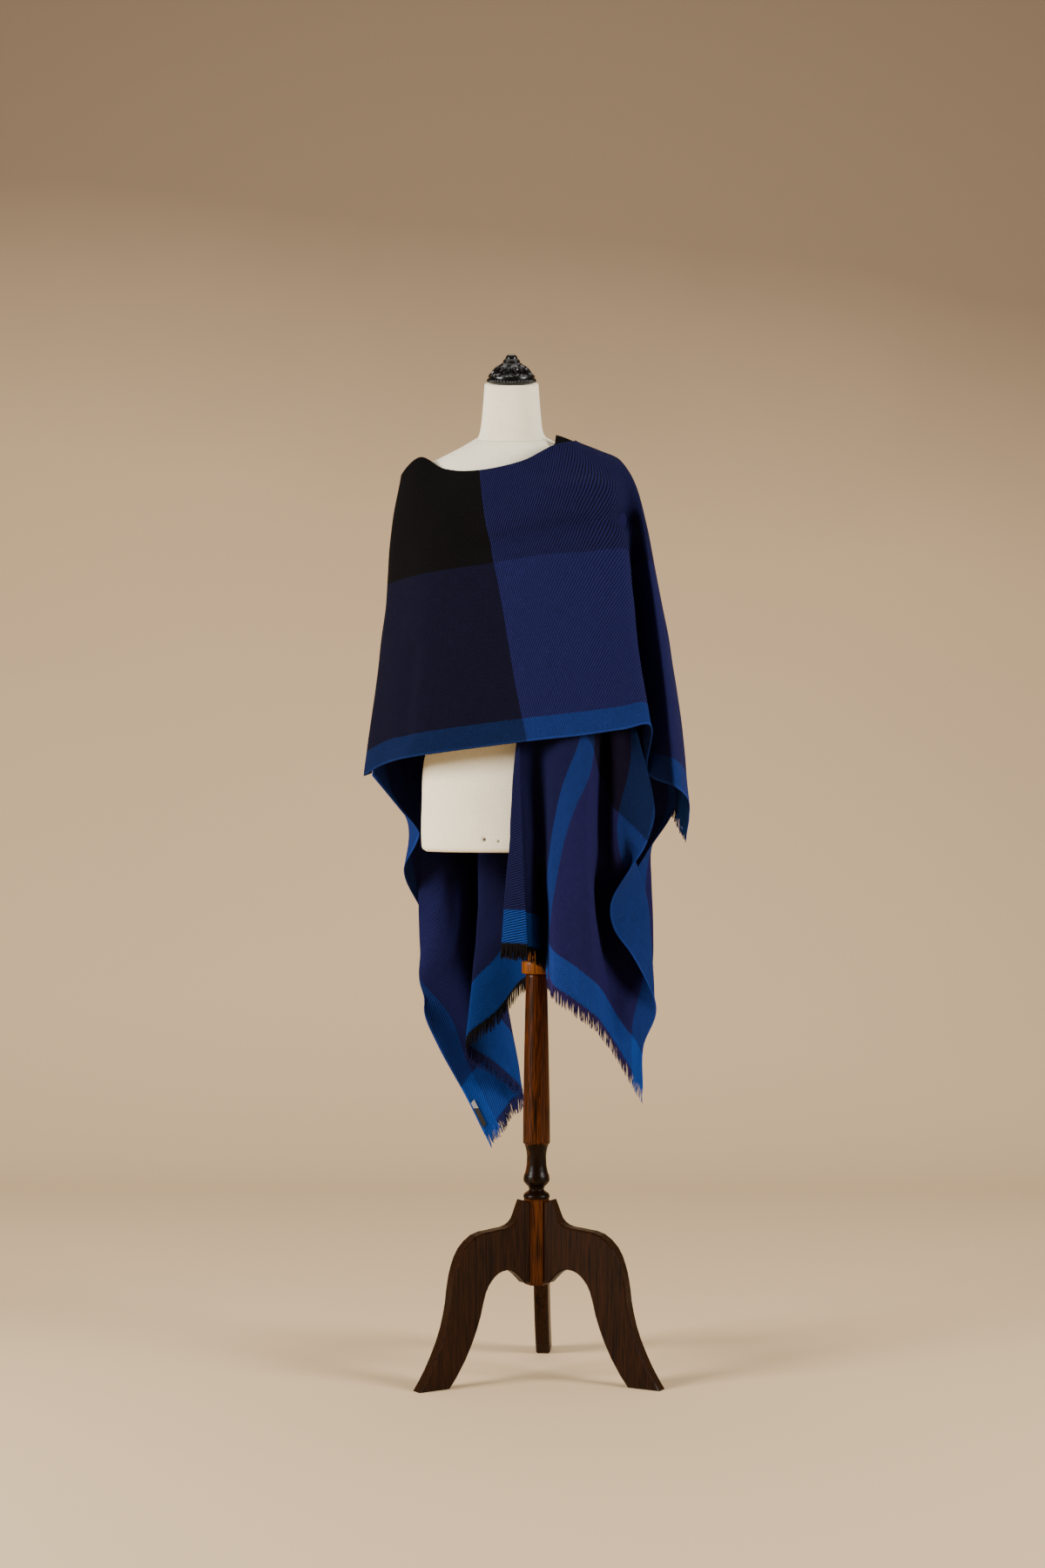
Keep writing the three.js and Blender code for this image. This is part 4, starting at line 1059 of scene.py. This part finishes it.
class RUANA_OT_stage(bpy.types.Operator):
    """Stage: pale floor, soft lights and the camera"""

    bl_idname = "ruana.stage"
    bl_label = "Floor, lights and camera"

    def execute(self, context):
        settings = context.scene.ruana_stage
        scene = context.scene
        curve = np.linspace(0, 1, 40)
        # Floor sweeping up into a backdrop: a plane to `start`, a quarter circle of radius
        # `bend`, a wall.
        bend, start, reach = 1.6, 2.0, 9
        angle = curve * math.pi / 2
        y = np.concatenate([[-reach, start - 1], start + bend * np.sin(angle), [start + bend] * 2])
        z = np.concatenate([[0, 0], bend - bend * np.cos(angle), [4, reach]])
        x = np.linspace(-reach, reach, 8)
        sweep = np.stack(np.broadcast_arrays(x[:, None], y[None], z[None]), axis=2)
        index = np.arange(sweep.shape[0] * sweep.shape[1]).reshape(sweep.shape[:2])
        mesh = bpy.data.meshes.new("studio_floor")
        mesh.from_pydata(sweep.reshape(-1, 3).tolist(), [], quads(index).tolist())
        mesh.polygons.foreach_set("use_smooth", [True] * len(mesh.polygons))
        floor = bpy.data.objects.new("studio_floor", mesh)
        scene.collection.objects.link(floor)
        mesh.materials.append(studio_paper("seamless_paper", "#d8bc95", "#bda484", "#88755f"))
        # Name, size, power, place, target.
        for name, size, power, place, target in (
                ("key_softbox", 1.5, 280, (-3.3, -1.9, 1.9), (0, 0, 1.0)),
                ("fill_softbox", 1.5, 225, (3.4, -1.9, 2.2), (0, 0, 1.0)),
                ("top_softbox", 2.6, 60, (0, 0.9, 4.2), (0, 0.6, 0))):
            lamp = bpy.data.lights.new(name, "AREA")
            lamp.shape, lamp.size = "SQUARE", size
            lamp.energy = power * settings.light_power
            lamp.color = (1.0, 0.97, 0.93)
            holder = bpy.data.objects.new(name, lamp)
            scene.collection.objects.link(holder)
            aim(holder, place, target)
        world = bpy.data.worlds.new("studio")
        scene.world = world
        world.use_nodes = True
        world.node_tree.nodes["Background"].inputs[0].default_value = linear("#e6ddd0")
        world.node_tree.nodes["Background"].inputs[1].default_value = 0.14
        lens = bpy.data.cameras.new("camera")
        lens.lens, lens.sensor_width = 61.6, 36.0
        camera = bpy.data.objects.new("camera", lens)
        scene.collection.objects.link(camera)
        camera.location = (-0.0081, -4.4329, settings.camera_height)
        camera.rotation_euler = (math.pi / 2, 0, 0)
        scene.camera = camera
        return {"FINISHED"}


class RUANA_PT_panel(bpy.types.Panel):
    """Sidebar panel with every step and its settings"""

    bl_idname = "RUANA_PT_panel"
    bl_label = "Ruana"
    bl_space_type = "VIEW_3D"
    bl_region_type = "UI"
    bl_category = "Ruana"

    def draw(self, context):
        for group in (context.scene.ruana_cloth, context.scene.ruana_form,
                      context.scene.ruana_stage):
            for key in group.__annotations__:
                self.layout.prop(group, key)
        for step in STEPS:
            self.layout.operator(step.bl_idname)


STEPS = (RUANA_OT_stage, RUANA_OT_form, RUANA_OT_right_front, RUANA_OT_left_front,
         RUANA_OT_back, RUANA_OT_label, RUANA_OT_cap, RUANA_OT_pole, RUANA_OT_tripod)
SETTINGS = {"ruana_cloth": ClothSettings, "ruana_form": FormSettings,
            "ruana_stage": StageSettings}


def register():
    """Registers the settings, the steps and the panel."""
    for name, group in SETTINGS.items():
        bpy.utils.register_class(group)
        setattr(bpy.types.Scene, name, PointerProperty(type=group))
    for step in (*STEPS, RUANA_PT_panel):
        bpy.utils.register_class(step)


def unregister():
    """Takes the panel, the steps and the settings away again."""
    for step in (RUANA_PT_panel, *reversed(STEPS)):
        bpy.utils.unregister_class(step)
    for name, group in reversed(SETTINGS.items()):
        delattr(bpy.types.Scene, name)
        bpy.utils.unregister_class(group)


def main():
    register()
    bpy.ops.ruana.stage()
    bpy.ops.ruana.form()
    bpy.ops.ruana.right_front()
    bpy.ops.ruana.left_front()
    bpy.ops.ruana.back()
    bpy.ops.ruana.label()
    bpy.ops.ruana.cap()
    bpy.ops.ruana.pole()
    bpy.ops.ruana.tripod()


if __name__ == "__main__":
    main()
